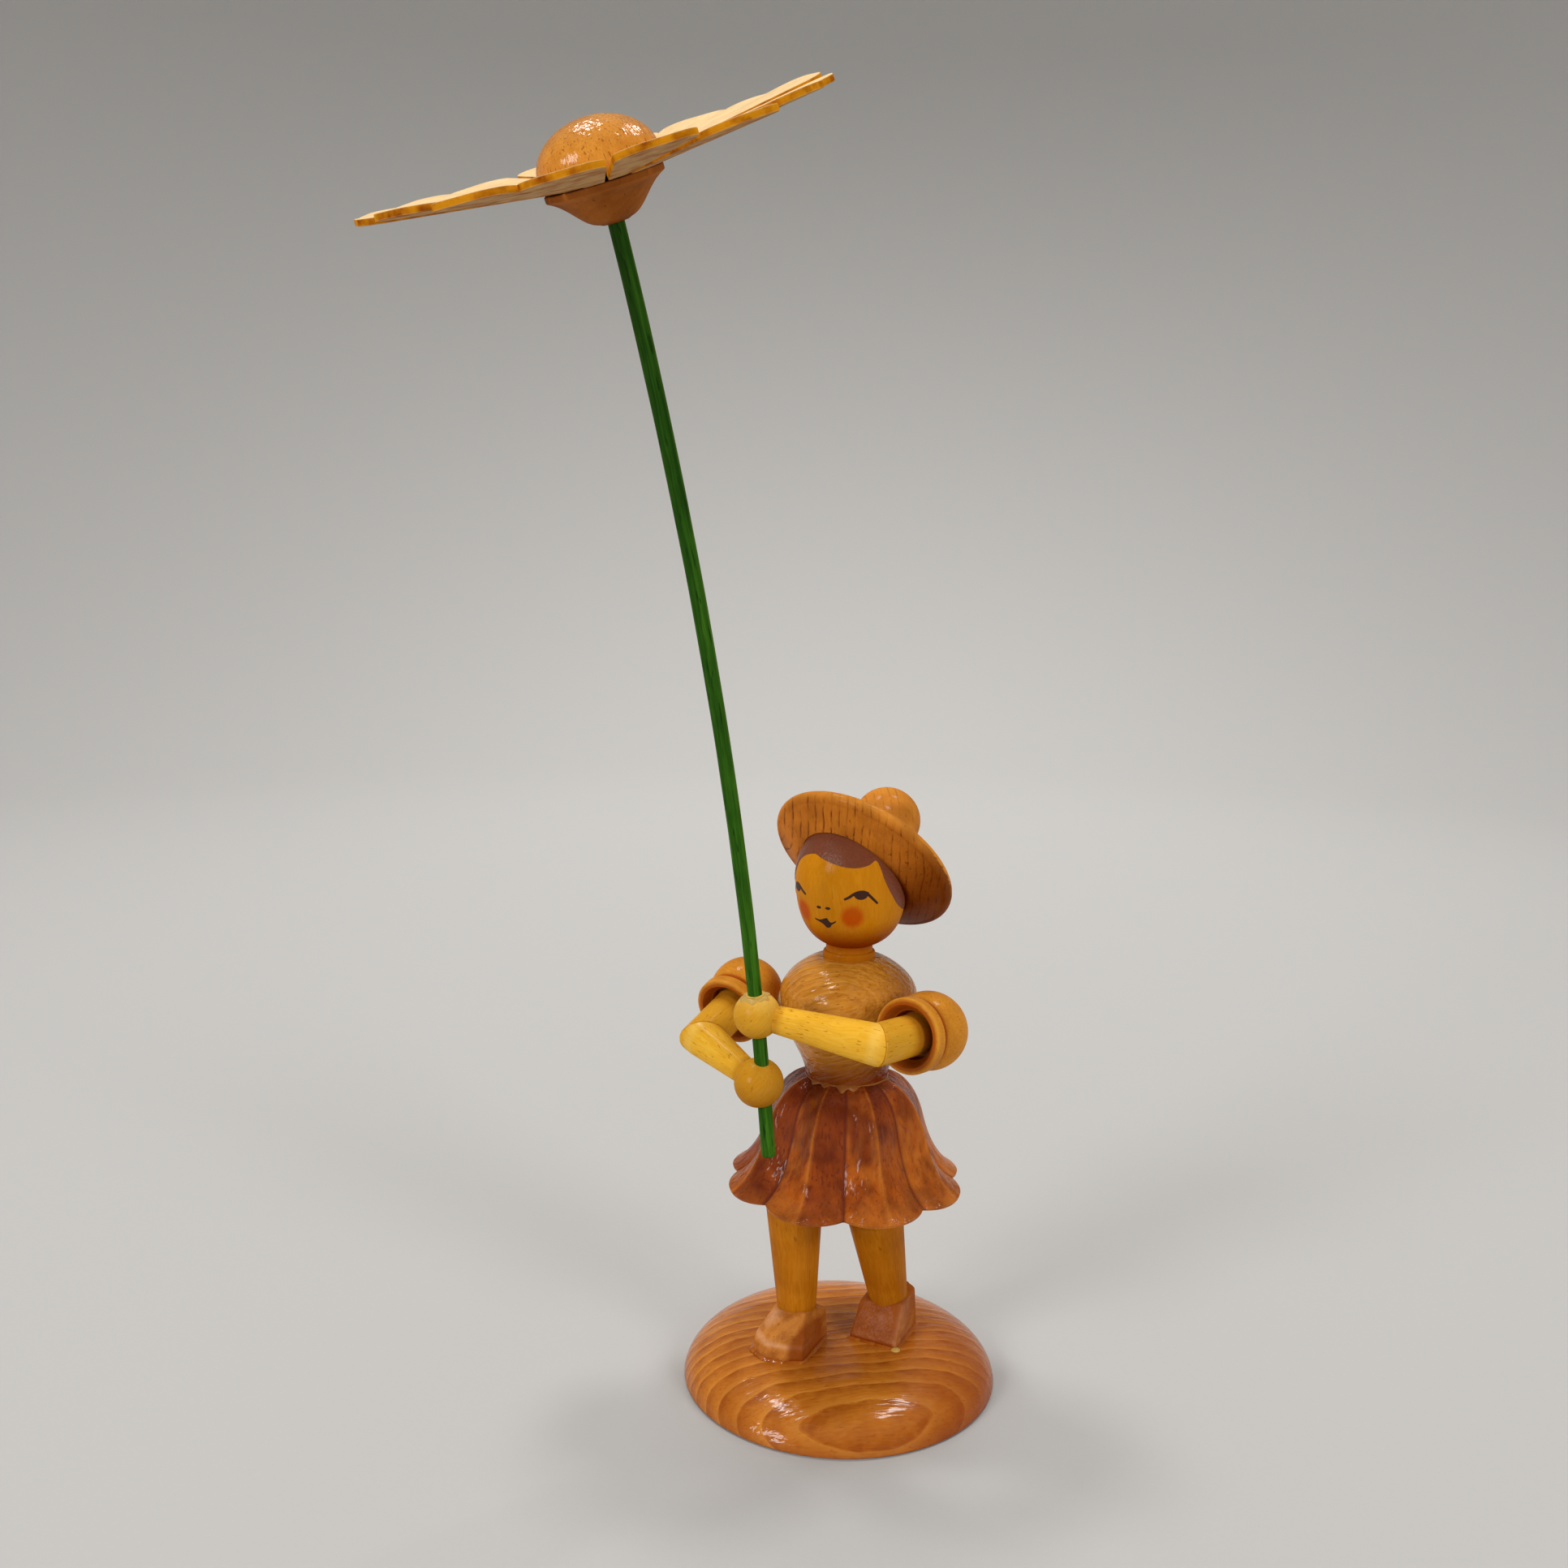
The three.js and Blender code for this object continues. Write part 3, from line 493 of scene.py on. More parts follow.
def standing(x, y, z):
    return Matrix.Translation(STAND + Vector((x, y, z)))


def aimed(place, origin, direction):
    turn = UP.rotation_difference(direction.normalized()).to_matrix().to_4x4()
    return place @ Matrix.Translation(origin) @ turn


def rightward(scene):
    """The way to the right in the picture, along the floor."""
    return Vector(polar(1, scene.flower_child_studio.azimuth))


def grain_along(axis, pith):
    """Pattern space with its Z along the fibres and the tree's heart at its origin."""
    turn = Vector(axis).normalized().rotation_difference(UP).to_matrix().to_4x4()
    return Matrix.Translation(-Vector(pith)) @ turn


def dress(piece, place, node, material, grain, shade=None, tint_and_highlight=None):
    """Smooths a piece, gives it its pattern space, stains and finish, and joins it to the frame."""
    mesh = piece.data
    mesh.shade_smooth()
    mesh.set_sharp_from_angle(angle=SHARP)
    back = place.inverted()
    local = [back @ (v.co / MM) for v in mesh.vertices]
    pattern = grain if isinstance(grain, list) else [grain @ p for p in local]
    store(mesh, "grain", "FLOAT_VECTOR", "vector", [c for p in pattern for c in p])
    # The shade and tint rules paint shade and highlights as well as real tones
    for name, rule in (("shade", shade), ("tint_and_highlight", tint_and_highlight)):
        if rule:
            store(mesh, name, "FLOAT", "value", [rule(p) for p in local])
    mesh.materials.clear()
    mesh.materials.append(material)
    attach(piece, BODY)
    if node:
        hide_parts(node)


def store(mesh, name, kind, field, values, domain="POINT"):
    layer = mesh.attributes.get(name) or mesh.attributes.new(name, kind, domain)
    layer.data.foreach_set(field, values)


# Finishes

def add(tree, kind, inputs=None, **settings):
    """Adds a node, sets what it is and links or fills its inputs."""
    node = tree.nodes.new(kind)
    for key, value in settings.items():
        setattr(node, key, value)
    for socket, value in (inputs or {}).items():
        if isinstance(value, bpy.types.NodeSocket):
            tree.links.new(value, node.inputs[socket])
        else:
            node.inputs[socket].default_value = value
    return node


def maths(tree, operation, *values):
    return add(tree, "ShaderNodeMath", dict(enumerate(values)), operation=operation).outputs[0]


def arithmetic(tree):
    """Adding, taking away, multiplying and dividing, each as a node of the tree."""
    return [partial(maths, tree, operation) for operation in ("ADD", "SUBTRACT", "MULTIPLY", "DIVIDE")]


def vector_maths(tree, operation, *values):
    node = add(tree, "ShaderNodeVectorMath", dict(enumerate(values)), operation=operation)
    return node.outputs["Value" if operation == "LENGTH" else "Vector"]


def mapped(tree, value, start, end, low=0.0, high=1.0, **settings):
    """A value between start and end, moved to lie between low and high."""
    inputs = {"Value": value, 1: start, 2: end, 3: low, 4: high}
    return add(tree, "ShaderNodeMapRange", inputs, **settings).outputs[0]


def cloud(tree, where, scale, detail, output=0, **more):
    inputs = {"Vector": where, "Scale": scale, "Detail": detail, **more}
    return add(tree, "ShaderNodeTexNoise", inputs).outputs[output]


def blend(tree, share, below, above):
    return add(tree, "ShaderNodeMix", {0: share, 6: below, 7: above}, data_type="RGBA").outputs[2]


def bumps(tree, height, strength, depth):
    """A surface normal from a height, with its depth in millimetres."""
    inputs = {"Height": height, "Strength": strength, "Distance": depth * MM}
    return add(tree, "ShaderNodeBump", inputs).outputs[0]


def attribute(tree, name, output):
    return add(tree, "ShaderNodeAttribute", attribute_name=name).outputs[output]


def object_space(tree):
    return add(tree, "ShaderNodeTexCoord").outputs["Object"]


def opaque(color):
    return (*color, 1.0)


def ink(code):
    return opaque(linear(code))


def new_material(name):
    material = bpy.data.materials.new(name)
    material.use_nodes = True
    material.node_tree.nodes.clear()
    return material, material.node_tree


def surface(tree, inputs):
    shader = add(tree, "ShaderNodeBsdfPrincipled", inputs)
    add(tree, "ShaderNodeOutputMaterial", {"Surface": shader.outputs[0]})


def stained_wood(name, stain_name, pale, dark, shade="#3A1A0A", tint_and_highlight="#E0A040", ring=1.6, late=0.7,
                 ring_depth=0.5, broken=0.3, early_depth=0.0, wander=0.5, fibre=(0.16, 5.0),
                 fibre_depth=0.5, fleck=(0.22, 1.8), fleck_level=0.70, fleck_depth=0.6, blotch=7.0,
                 blotch_depth=0.35, mottle=0.4, rough=0.4, coat=0.3, coat_rough=0.08, relief=0.02,
                 ripple=0.012, in_object=False):
    """Stained and varnished wood. Sizes are millimetres: ring is the width of a year's growth and late
    the share of it that is dark, fibre and fleck are (width, length), blotch is the size of a darker
    patch and mottle how far such patches darken the tint and the shade. A piece's tint and shade rules
    give real tones and also painted highlights, painted sheen and painted shade."""
    material, tree = new_material(name)
    calc = partial(maths, tree)
    vector = partial(vector_maths, tree)
    span = partial(mapped, tree)
    if in_object:
        where = vector("MULTIPLY", object_space(tree), (1 / MM,) * 3)
    else:
        where = attribute(tree, "grain", "Vector")
    sway = vector("SUBTRACT", cloud(tree, where, 0.13, 2.0, "Color"), (0.5,) * 3)
    bent = vector("MULTIPLY_ADD", sway, (wander * 4,) * 3, where)

    # Growth rings: pale early wood, a rise to dark late wood, then a sharp drop
    year = calc("FRACT", vector("LENGTH", vector("MULTIPLY", bent, (1 / ring, 1 / ring, 0))))
    early = span(year, 0.0, 0.25, 1.0, 0.0)
    late_wood = calc("MULTIPLY", span(year, 1 - late, 0.94), span(year, 0.94, 1.0, 1.0, 0.0))
    gaps = span(cloud(tree, where, 0.45, 2.0), 0.42, 0.62, 1 - broken, 1.0)
    late_wood = calc("MULTIPLY", late_wood, gaps)

    # Fibres along the grain, and short dark pores
    along = vector("MULTIPLY", bent, (0.55 / fibre[0], 0.55 / fibre[0], 1 / fibre[1]))
    fibres = span(cloud(tree, along, 1.0, 3.0, Roughness=0.6), 0.36, 0.66)
    dashes = vector("MULTIPLY", where, (0.65 / fleck[0], 0.65 / fleck[0], 1 / fleck[1]))
    pores = span(cloud(tree, dashes, 1.0, 0.5), fleck_level, fleck_level + 0.06)

    # Patches where the stain took more
    patch = span(cloud(tree, where, 1 / blotch, 3.0), 0.42, 0.68)

    def mix(amount, depth, below, above):
        return blend(tree, calc("MULTIPLY", amount, depth), below, above)

    main = getattr(bpy.context.scene.flower_child_stains, stain_name)
    color = mix(fibres, fibre_depth, opaque(main), ink(pale))
    color = mix(early, early_depth, color, ink(pale))
    color = mix(late_wood, ring_depth, color, ink(dark))
    color = mix(patch, blotch_depth, color, ink(dark))
    color = mix(pores, fleck_depth, color, ink(shade))
    # Each piece's tint and shade rules: real tones, and also painted highlights, sheen and shade
    for rule, code in (("tint_and_highlight", tint_and_highlight), ("shade", shade)):
        tone_and_painted_light = mix(patch, mottle, ink(code), ink(dark))
        color = mix(attribute(tree, rule, "Fac"), 1.0, color, tone_and_painted_light)

    # The varnish lies in slow waves over the fibres
    waves = cloud(tree, along, 0.35, 2.0)
    surface(tree, {
        "Base Color": color, "Roughness": span(fibres, 0.0, 1.0, rough - 0.06, rough + 0.1),
        "IOR": WOOD_IOR, "Specular IOR Level": 0.0,
        "Coat Weight": coat, "Coat IOR": VARNISH_IOR, "Coat Roughness": coat_rough,
        "Normal": bumps(tree, calc("SUBTRACT", fibres, pores), 0.6, relief),
        "Coat Normal": bumps(tree, waves, 0.7, ripple * 4)})
    return material


def paint(name, code, rough, grit=0.25, lumps=0.03):
    """Brushed-on paint: one colour with tiny lumps that catch the light."""
    material, tree = new_material(name)
    grains = cloud(tree, object_space(tree), 1 / (grit * MM), 3.0)
    deep = tuple(c * 0.72 for c in linear(code))
    surface(tree, {
        "Base Color": blend(tree, grains, opaque(deep), ink(code)),
        "Roughness": mapped(tree, grains, 0.0, 1.0, rough - 0.1, rough + 0.15),
        "IOR": WOOD_IOR, "Specular IOR Level": 0.3, "Normal": bumps(tree, grains, 0.8, lumps)})
    return material


# Geometry trees

def new_tree(name, fields):
    """A geometry tree with an input for each field, and the sockets that those inputs give."""
    tree = bpy.data.node_groups.new(name, "GeometryNodeTree")
    tree.interface.new_socket("Geometry", in_out="INPUT", socket_type="NodeSocketGeometry")
    tree.interface.new_socket("Geometry", in_out="OUTPUT", socket_type="NodeSocketGeometry")
    for field, value in fields.items():
        kind = {int: "Int", float: "Float"}.get(type(value), "Material")
        tree.interface.new_socket(field, in_out="INPUT", socket_type=f"NodeSocket{kind}")
    return tree, add(tree, "NodeGroupInput").outputs


def close_tree(tree, geometry, finish):
    stained = add(tree, "GeometryNodeSetMaterial", {"Geometry": geometry, "Material": finish}).outputs[0]
    add(tree, "NodeGroupOutput", {0: stained})


def grow(piece, tree, fields):
    """Runs a node tree on a piece with its inputs set, and keeps the result as a plain mesh."""
    modifier = piece.modifiers.new(tree.name, "NODES")
    modifier.node_group = tree
    for item in tree.interface.items_tree:
        if item.in_out == "INPUT" and item.name in fields:
            modifier[item.identifier] = fields[item.name]
    settle(piece)


# Base

class FLOWERCHILD_OT_base(bpy.types.Operator):
    """Turns the round base"""
    bl_idname = "flower_child.base"
    bl_label = "Base"

    def execute(self, context):
        size = context.scene.flower_child_body
        radius = mm(size.base_radius)
        height = mm(size.base_height)
        flat = radius - BASE_SHOULDER
        profile = Profile(0, 0).line(radius - 0.35, 0, 4).line(radius, 0.3)
        profile.arc((flat, 0), (BASE_SHOULDER, height), math.asin(0.3 / height), math.pi / 2, 40)
        profile.line(0, height, 16)
        place = Matrix()
        piece = turned("base", profile, place, FINE_AROUND)
        # Board sawn with its heart above the front shoulder: an oval there, and arches behind it
        right = rightward(context.scene)
        turn = Matrix.Rotation(-context.scene.flower_child_studio.azimuth - BASE_BOARD_TURN, 4, "Z")
        board = Matrix.Rotation(math.pi / 2, 4, "Y") @ Matrix.Translation(BASE_HEART) @ turn
        # Honey-stained softwood under gloss varnish: wide orange bands between thin pale lines
        wood = stained_wood(
            "Honey-stained pine, gloss varnish", "base", "#D8923C", "#8A3E08", shade="#8A380A", ring=2.3,
            late=0.8, ring_depth=0.75, broken=0.5, early_depth=0.5, wander=0.45, fibre=(0.18, 2.6),
            fibre_depth=0.4, fleck=(0.2, 1.2), fleck_level=0.68, fleck_depth=0.35, blotch_depth=0.4,
            rough=0.36, coat=1.0, coat_rough=0.13, ripple=0.06)
        # Painted shade: darker over the lower shoulder, most at the bottom edge, and towards the
        # picture's right
        dress(piece, place, "base", wood, board,
              shade=lambda p: clamp(0.6 * smooth_step(0.45 - p.z, 0, 0.4)
                                    + 0.3 * smooth_step(4.5 - p.z, 0, 4)
                                    + 0.45 * smooth_step(p.xy.dot(right), 4, 18)))
        return {"FINISHED"}


# Shoes and legs

class FLOWERCHILD_OT_shoes(bpy.types.Operator):
    """Carves the two shoes and lays the glue round their soles"""
    bl_idname = "flower_child.shoes"
    bl_label = "Shoes"

    def execute(self, context):
        # Chisel-cut hardwood, reddish brown; its paler arrises and pale patches are painted highlights,
        # and one face and the foot of each shoe are darker with painted shade
        wood = stained_wood(
            "Red-brown stained beech, carved", "shoe", "#D08E44", "#86400F", shade="#80340A",
            tint_and_highlight="#D8A27A", ring=1.3, ring_depth=0.2, fibre=(0.15, 2.2), fleck_depth=0.4, blotch=2.2,
            blotch_depth=0.6, rough=0.42, coat=0.15, coat_rough=0.24, relief=0.05, ripple=0.08)
        # Dried wood glue: pale amber, slightly glossy
        glue = paint("Dried amber glue", "#CFA552", 0.3, grit=0.5, lumps=0.02)
        for side, stance in STANCE.items():
            place = standing(*stance["foot"], 0) @ Matrix.Rotation(stance["turn"], 4, "Z")
            heel = SHOE_HEEL_WIDTH / 2
            outline = [(-heel, SHOE_HEEL_LENGTH), *SHOE_TOES[side], (heel, SHOE_HEEL_LENGTH)]
            piece = self.carve_shoe(f"shoe_{side}", place, outline, SHOE_CUTS[side])

            # Painted shade on one face of each shoe and along its foot
            def shade(p):
                flank = smooth_step(p.x, 2.8, 3.8)
                side_shade = 0.75 * flank if side == "right" else 0.75 - 0.6 * flank
                return clamp(side_shade + 0.3 * smooth_step(0.6 - p.z, 0, 0.8))

            # Painted highlights: a pale arris and a pale patch on each shoe
            def painted_highlight(p):
                if side == "left":
                    edge = smooth_step(0.7 - abs(p.x - 3.1), 0, 0.7) * smooth_step(1.5 - p.y, 0, 2)
                    patch = smooth_step(1.3 - math.hypot(p.x - 0.6, p.z - 2.6), 0, 1.3)
                else:
                    edge = smooth_step(0.5 - abs(p.z - 1.8), 0, 0.5) * smooth_step(-1 - p.y, 0, 2)
                    patch = smooth_step(2.2 - math.hypot(p.x + 1.5, p.y + 3.5), 0, 2.2)
                return clamp(0.5 * edge + 0.6 * patch)

            grain = grain_along((0, 1, 0), (9, 4, 0))
            dress(piece, place, f"shoe_{side}", wood, grain, shade, painted_highlight)
            bead = self.sole_glue(f"sole_glue_{side}", place, outline)
            dress(bead, place, None, bpy.data.materials["Honey-stained pine, gloss varnish"],
                  grain_along((0, 1, 0), (16, 4, 0)), shade=lambda p: 0.5)
        drop = Profile(0, -0.2).line(0.75, -0.2, 2).arc((0, -0.2), (0.75, 0.5), 0, math.pi / 2, 8)
        spot = Matrix.Translation(self.left_corner())
        dress(turned("sole_drop", drop, spot, 40), spot, None, glue, Matrix())
        return {"FINISHED"}

    def left_corner(self):
        """Where the left shoe's toe meets the base on the girl's left."""
        stance = STANCE["left"]
        turn = Matrix.Rotation(stance["turn"], 4, "Z")
        return standing(*stance["foot"], -FIT_GAP) @ turn @ Vector((*SHOE_TOES["left"][1], 0))

    def carve_shoe(self, name, place, outline, cuts):
        """A block cut along the sole's outline and then over the top."""
        mesh = bpy.data.meshes.new(name)
        block = bmesh.new()
        middle = Matrix.Translation((0, 0, SHOE_BLOCK / 2 - FIT_GAP))
        bmesh.ops.create_cube(block, size=SHOE_BLOCK, matrix=middle)
        planes = []
        for start, end in zip(outline, outline[1:] + outline[:1]):
            along = Vector(end) - Vector(start)
            planes.append((Vector((*start, 0)), Vector((along.y, -along.x, SOLE_DRAFT * along.length))))
        for a, b, c in cuts:
            way = (Vector(b) - Vector(a)).cross(Vector(c) - Vector(a))
            planes.append((Vector(a), way if way.z > 0 else -way))
        for point, way in planes:
            geometry = block.verts[:] + block.edges[:] + block.faces[:]
            cut = bmesh.ops.bisect_plane(block, geom=geometry, plane_co=point, plane_no=way.normalized(),
                                         clear_outer=True)
            rim = [item for item in cut["geom_cut"] if isinstance(item, bmesh.types.BMEdge)]
            bmesh.ops.edgeloop_fill(block, edges=rim)
        bmesh.ops.dissolve_degenerate(block, dist=0.05, edges=block.edges[:])
        bmesh.ops.recalc_face_normals(block, faces=block.faces[:])
        bmesh.ops.triangulate(block, faces=[f for f in block.faces if len(f.verts) > 4])
        bmesh.ops.transform(block, matrix=Matrix.Scale(MM, 4) @ place, verts=block.verts[:])
        block.to_mesh(mesh)
        block.free()
        piece = linked(name, mesh)
        # Edges rounded by sanding and many coats
        rounding = piece.modifiers.new("Rounding", "REMESH")
        rounding.mode = "VOXEL"
        rounding.voxel_size = SHOE_ROUNDING * MM
        sanding = piece.modifiers.new("Sanding", "SMOOTH")
        sanding.iterations = SHOE_SANDING
        settle(piece)
        return piece

    def sole_glue(self, name, place, corners):
        """A soft fillet of glue, squeezed out unevenly all round the sole."""
        outline = []
        for start, end in zip(corners, corners[1:] + corners[:1]):
            steps = max(2, round((Vector(end) - Vector(start)).length / SOLE_GLUE_STEP))
            outline += [Vector(start).lerp(Vector(end), i / steps) for i in range(steps)]
        middle = sum(outline, Vector((0, 0))) / len(outline)
        floor = -FIT_GAP
        sections = []
        for spot in outline:
            out = (spot - middle).normalized()
            swell = 0.5 + 0.5 * noise.noise(Vector((spot.x * 0.4, spot.y * 0.4, 3)))
            foot = spot + out * (0.3 + 0.5 * swell)
            hollow = spot + out * (0.1 + 0.2 * swell)
            inner = spot - out * 0.5
            lift = 0.15 + 0.4 * swell
            sections.append([Vector((*inner, floor + lift)), Vector((*hollow, floor + lift * 0.4)),
                             Vector((*foot, floor - 0.06)), Vector((*inner, floor - 0.06))])
        return hoop(name, sections, place)


class FLOWERCHILD_OT_legs(bpy.types.Operator):
    """Turns the two legs"""
    bl_idname = "flower_child.legs"
    bl_label = "Legs"

    def execute(self, context):
        # Golden-stained hardwood turned along the grain: fine upright fibres under satin varnish
        wood = stained_wood(
            "Golden-stained beech, satin varnish", "leg", "#CC8A22", "#8A4604", shade="#6A3002", ring=1.5,
            ring_depth=0.15, fibre=(0.13, 7), fibre_depth=0.45, blotch=6, blotch_depth=0.4,
            fleck_level=0.72, fleck_depth=0.35, rough=0.42, coat=0.22, coat_rough=0.14)
        for side, stance in STANCE.items():
            ankle = Vector((*stance["foot"], ANKLE))
            stride = Vector((*stance["hip"], HIP)) - ankle
            place = aimed(standing(0, 0, 0), ankle, stride)
            length = stride.length
            profile = Profile(0, -1.6).line(LEG_ANKLE_RADIUS - 0.12, -1.6, 2)
            profile.line(LEG_ANKLE_RADIUS, 0, 3).line(LEG_TOP_RADIUS - 0.03, LEG_TAPER_RISE - 0.35, 24)
            profile.line(LEG_TOP_RADIUS - 0.1, LEG_TAPER_RISE - 0.15)
            profile.line(LEG_TOP_RADIUS, LEG_TAPER_RISE + 0.1)
            profile.line(LEG_TOP_RADIUS, length + 0.2, 12).line(0, length + 0.2, 3)
            piece = turned(f"leg_{side}", profile, place)
            # Painted shade: darker up under the skirt, at the ankle, and over all of the left leg
            dress(piece, place, f"leg_{side}", wood, grain_along((0, 0, 1), (7, 5, 0)),
                  shade=lambda p: 0.5 * smooth_step(p.z, LEG_TAPER_RISE + 1.5, LEG_TAPER_RISE + 6)
                  + 0.3 * smooth_step(0.8 - p.z, 0, 0.8) + (0.2 if side == "left" else 0.0))
        return {"FINISHED"}


# Skirt

class FLOWERCHILD_OT_skirt(bpy.types.Operator):
    """Turns the skirt's bell and carves its flutes"""
    bl_idname = "flower_child.skirt"
    bl_label = "Skirt"

    def execute(self, context):
        size = context.scene.flower_child_body
        hem = mm(size.hem_radius)
        mouth = hem - mm(size.flute_depth) - SKIRT_HEM_WALL
        profile = Profile(0, SKIRT_HOLLOW).line(mouth - 2.4, SKIRT_HOLLOW, 8).line(mouth, 0, 5)
        profile.line(hem - 0.6, 0).line(hem - 0.1, 0.15, 2).line(hem, 0.5, 2)
        profile.curve(SKIRT_HIP_RADIUS, SKIRT_HIP_HEIGHT, (-2.6, 1.5), (0.9, -3.4), 34)
        profile.curve(SKIRT_WAIST_RADIUS, SKIRT_HEIGHT, (-0.9, 3.4), (3.2, -0.9), 34)
        profile.line(0, SKIRT_HEIGHT, 6)
        piece = turned("skirt", profile, Matrix.Rotation(FLUTE_PHASE, 4, "Z"), SKIRT_AROUND)
        place = standing(0, 0, HEM)
        # Mahogany stain over hardwood, purple brown towards the waist and lighter at the hem.
        # Painted shade darkens the grooves, the right-facing facets and the top towards the picture's
        # right;
        # painted highlights and sheen lighten the ridges, left-facing facets and the picture's right
        # side.
        wood = stained_wood(
            "Mahogany-stained beech, gloss varnish", "skirt", "#B0540C", "#52180A", shade="#682A18",
            tint_and_highlight="#BA6A24", ring=2.2, ring_depth=0.25, fibre=(0.26, 4.0), fibre_depth=0.7,
            fleck=(0.24, 1.6), fleck_level=0.63, fleck_depth=0.75, blotch=3.2, blotch_depth=0.7,
            rough=0.42, coat=0.6, coat_rough=0.18, relief=0.1, ripple=0.14)
        self.carve_flutes(piece, size, wood)
        piece.data.transform(Matrix.Translation(place.translation * MM))
        pitch = 2 * math.pi / size.flute_count
        right = rightward(context.scene)

        def across(p):
            """0 in a groove, 1 on a ridge, and whether the facet looks to the left of the picture."""
            share = (math.atan2(p.y, p.x) - FLUTE_PHASE) / pitch % 1
            return 1 - abs(2 * share - 1), share < 0.5

        def shade(p):
            spot = Vector((p.x, p.y, p.z * 0.6)) / 5
            high = smooth_step(p.z + 5 * noise.noise(spot), 5.5, 13.5)
            # Painted shade: the top darkens more towards the picture's right
            high *= 0.75 + 0.2 * smooth_step(p.xy.dot(right), -6, 5)
            crest, left = across(p)
            # Painted shade in the grooves, and on the right-facing facets towards the picture's left
            groove = 0.7 * smooth_step(0.08 - crest, 0, 0.07)
            dusk = 0.0 if left else 0.45 * smooth_step(5 - p.xy.dot(right) + 6 * noise.noise(spot), 0, 6)
            # Painted sheen: pale patches high on the left-facing facets, where the shade is left out
            if left:
                sheen_patch = noise.noise(Vector((p.x * 0.8, p.y * 0.8, p.z * 0.3)))
                high *= 1 - 0.5 * clamp(0.4 + 1.6 * sheen_patch)
            # The ridges keep less of the shade, a painted highlight along each arris
            bare = 1 - 0.6 * smooth_step(crest, 0.92, 0.98)
            return clamp(0.75 * high + groove + dusk * (1 - high)) * bare

        def tint_and_highlight(p):
            spot = Vector((p.x, p.y, p.z * 0.35)) / 3.5
            low = smooth_step(5.5 - p.z + 4 * noise.noise(spot), 1, 6)
            crest, left = across(p)
            # Painted highlight along each ridge
            arris = smooth_step(crest, 0.92, 0.98)
            # Painted sheen in streaks on the left-facing facets
            streaks = noise.noise(Vector((p.x * 1.3, p.y * 1.3, p.z * 0.25)))
            painted_sheen = clamp(0.5 + 1.2 * streaks) * smooth_step(p.z, 1, 6) if left else 0.0
            # Painted light towards the picture's right
            sunny = smooth_step(p.xy.dot(right) + 4 * noise.noise(spot * 1.4), 0, 10)
            sunny *= smooth_step(14 - p.z, 0, 5)
            edge = smooth_step(0.9 - p.z, 0, 0.8)
            # The hem is lighter, and more so on the left-facing facets as painted light
            low *= 0.6 if left else 0.36
            return clamp(low + 0.6 * arris + 0.5 * painted_sheen + 0.3 * sunny + 0.3 * edge)

        dress(piece, place, "skirt", wood, grain_along((0, 0, 1), (13, 8, 0)), shade, tint_and_highlight)
        piece.data.set_sharp_from_angle(angle=SKIRT_SHARP)
        return {"FINISHED"}

    def carve_flutes(self, piece, size, wood):
        """Pulls the turned bell in along V grooves that fade out towards the waist."""
        fields = {"Flutes": size.flute_count, "Depth": size.flute_depth, "Turn": FLUTE_PHASE,
                  "Hem radius": size.hem_radius, "Hollow": SKIRT_HOLLOW * MM,
                  "Fade from": SKIRT_HIP_HEIGHT * MM, "Fade to": SKIRT_HEIGHT * MM,
                  "Scallop": HEM_SCALLOP * MM, "Wall": (SKIRT_HEM_WALL - 0.1) * MM, "Finish": wood}
        tree, given = new_tree("Carved flutes", fields)
        calc = partial(maths, tree)
        plus, minus, times, over = arithmetic(tree)
        vector = partial(vector_maths, tree)
        span = partial(mapped, tree)
        spot = add(tree, "GeometryNodeInputPosition").outputs[0]
        x, y, z = add(tree, "ShaderNodeSeparateXYZ", {0: spot}).outputs
        angle = minus(calc("ARCTAN2", y, x), given["Turn"])
        turn = times(angle, over(given["Flutes"], 2 * math.pi))
        crest = times(calc("PINGPONG", turn, 0.5), 2.0)
        # Two flat chisel cuts to each lobe meet in a crisp ridge, which rounds off near the hem
        groove = minus(1.0, crest)
        flat_cut = calc("MULTIPLY_ADD", times(crest, groove), 4 * FACET_HOLLOW, groove)
        lobe = calc("POWER", groove, LOBE_POWER)
        crisp = span(z, HEM_ROUND_BELOW * MM, HEM_CRISP_ABOVE * MM)
        facet = plus(lobe, times(crisp, minus(flat_cut, lobe)))
        fade = span(z, given["Fade from"], given["Fade to"], 1.0, WAIST_FADE,
                    interpolation_type="SMOOTHSTEP")
        inward = times(times(facet, fade), given["Depth"])
        flat = vector("MULTIPLY", spot, (1, 1, 0))
        pull = vector("MULTIPLY", vector("NORMALIZE", flat), times(inward, -1.0))
        low = span(z, 0.0, given["Hollow"], 1.0, 0.0)
        lift = times(times(lobe, low), given["Scallop"])
        move = vector("ADD", pull, add(tree, "ShaderNodeCombineXYZ", {2: lift}).outputs[0])
        # The hollow under the hem keeps its round wall
        wall = minus(given["Hem radius"], plus(given["Depth"], given["Wall"]))
        within = calc("LESS_THAN", vector("LENGTH", flat), wall)
        beneath = calc("LESS_THAN", z, plus(given["Hollow"], 0.01 * MM))
        outside = minus(1.0, times(within, beneath))
        moved = add(tree, "GeometryNodeSetPosition", {
            "Geometry": given["Geometry"], "Selection": outside, "Offset": move}).outputs[0]
        whole = add(tree, "GeometryNodeRealizeInstances", {"Geometry": moved}).outputs[0]
        close_tree(tree, whole, given["Finish"])
        grow(piece, tree, fields)


# Torso and neck

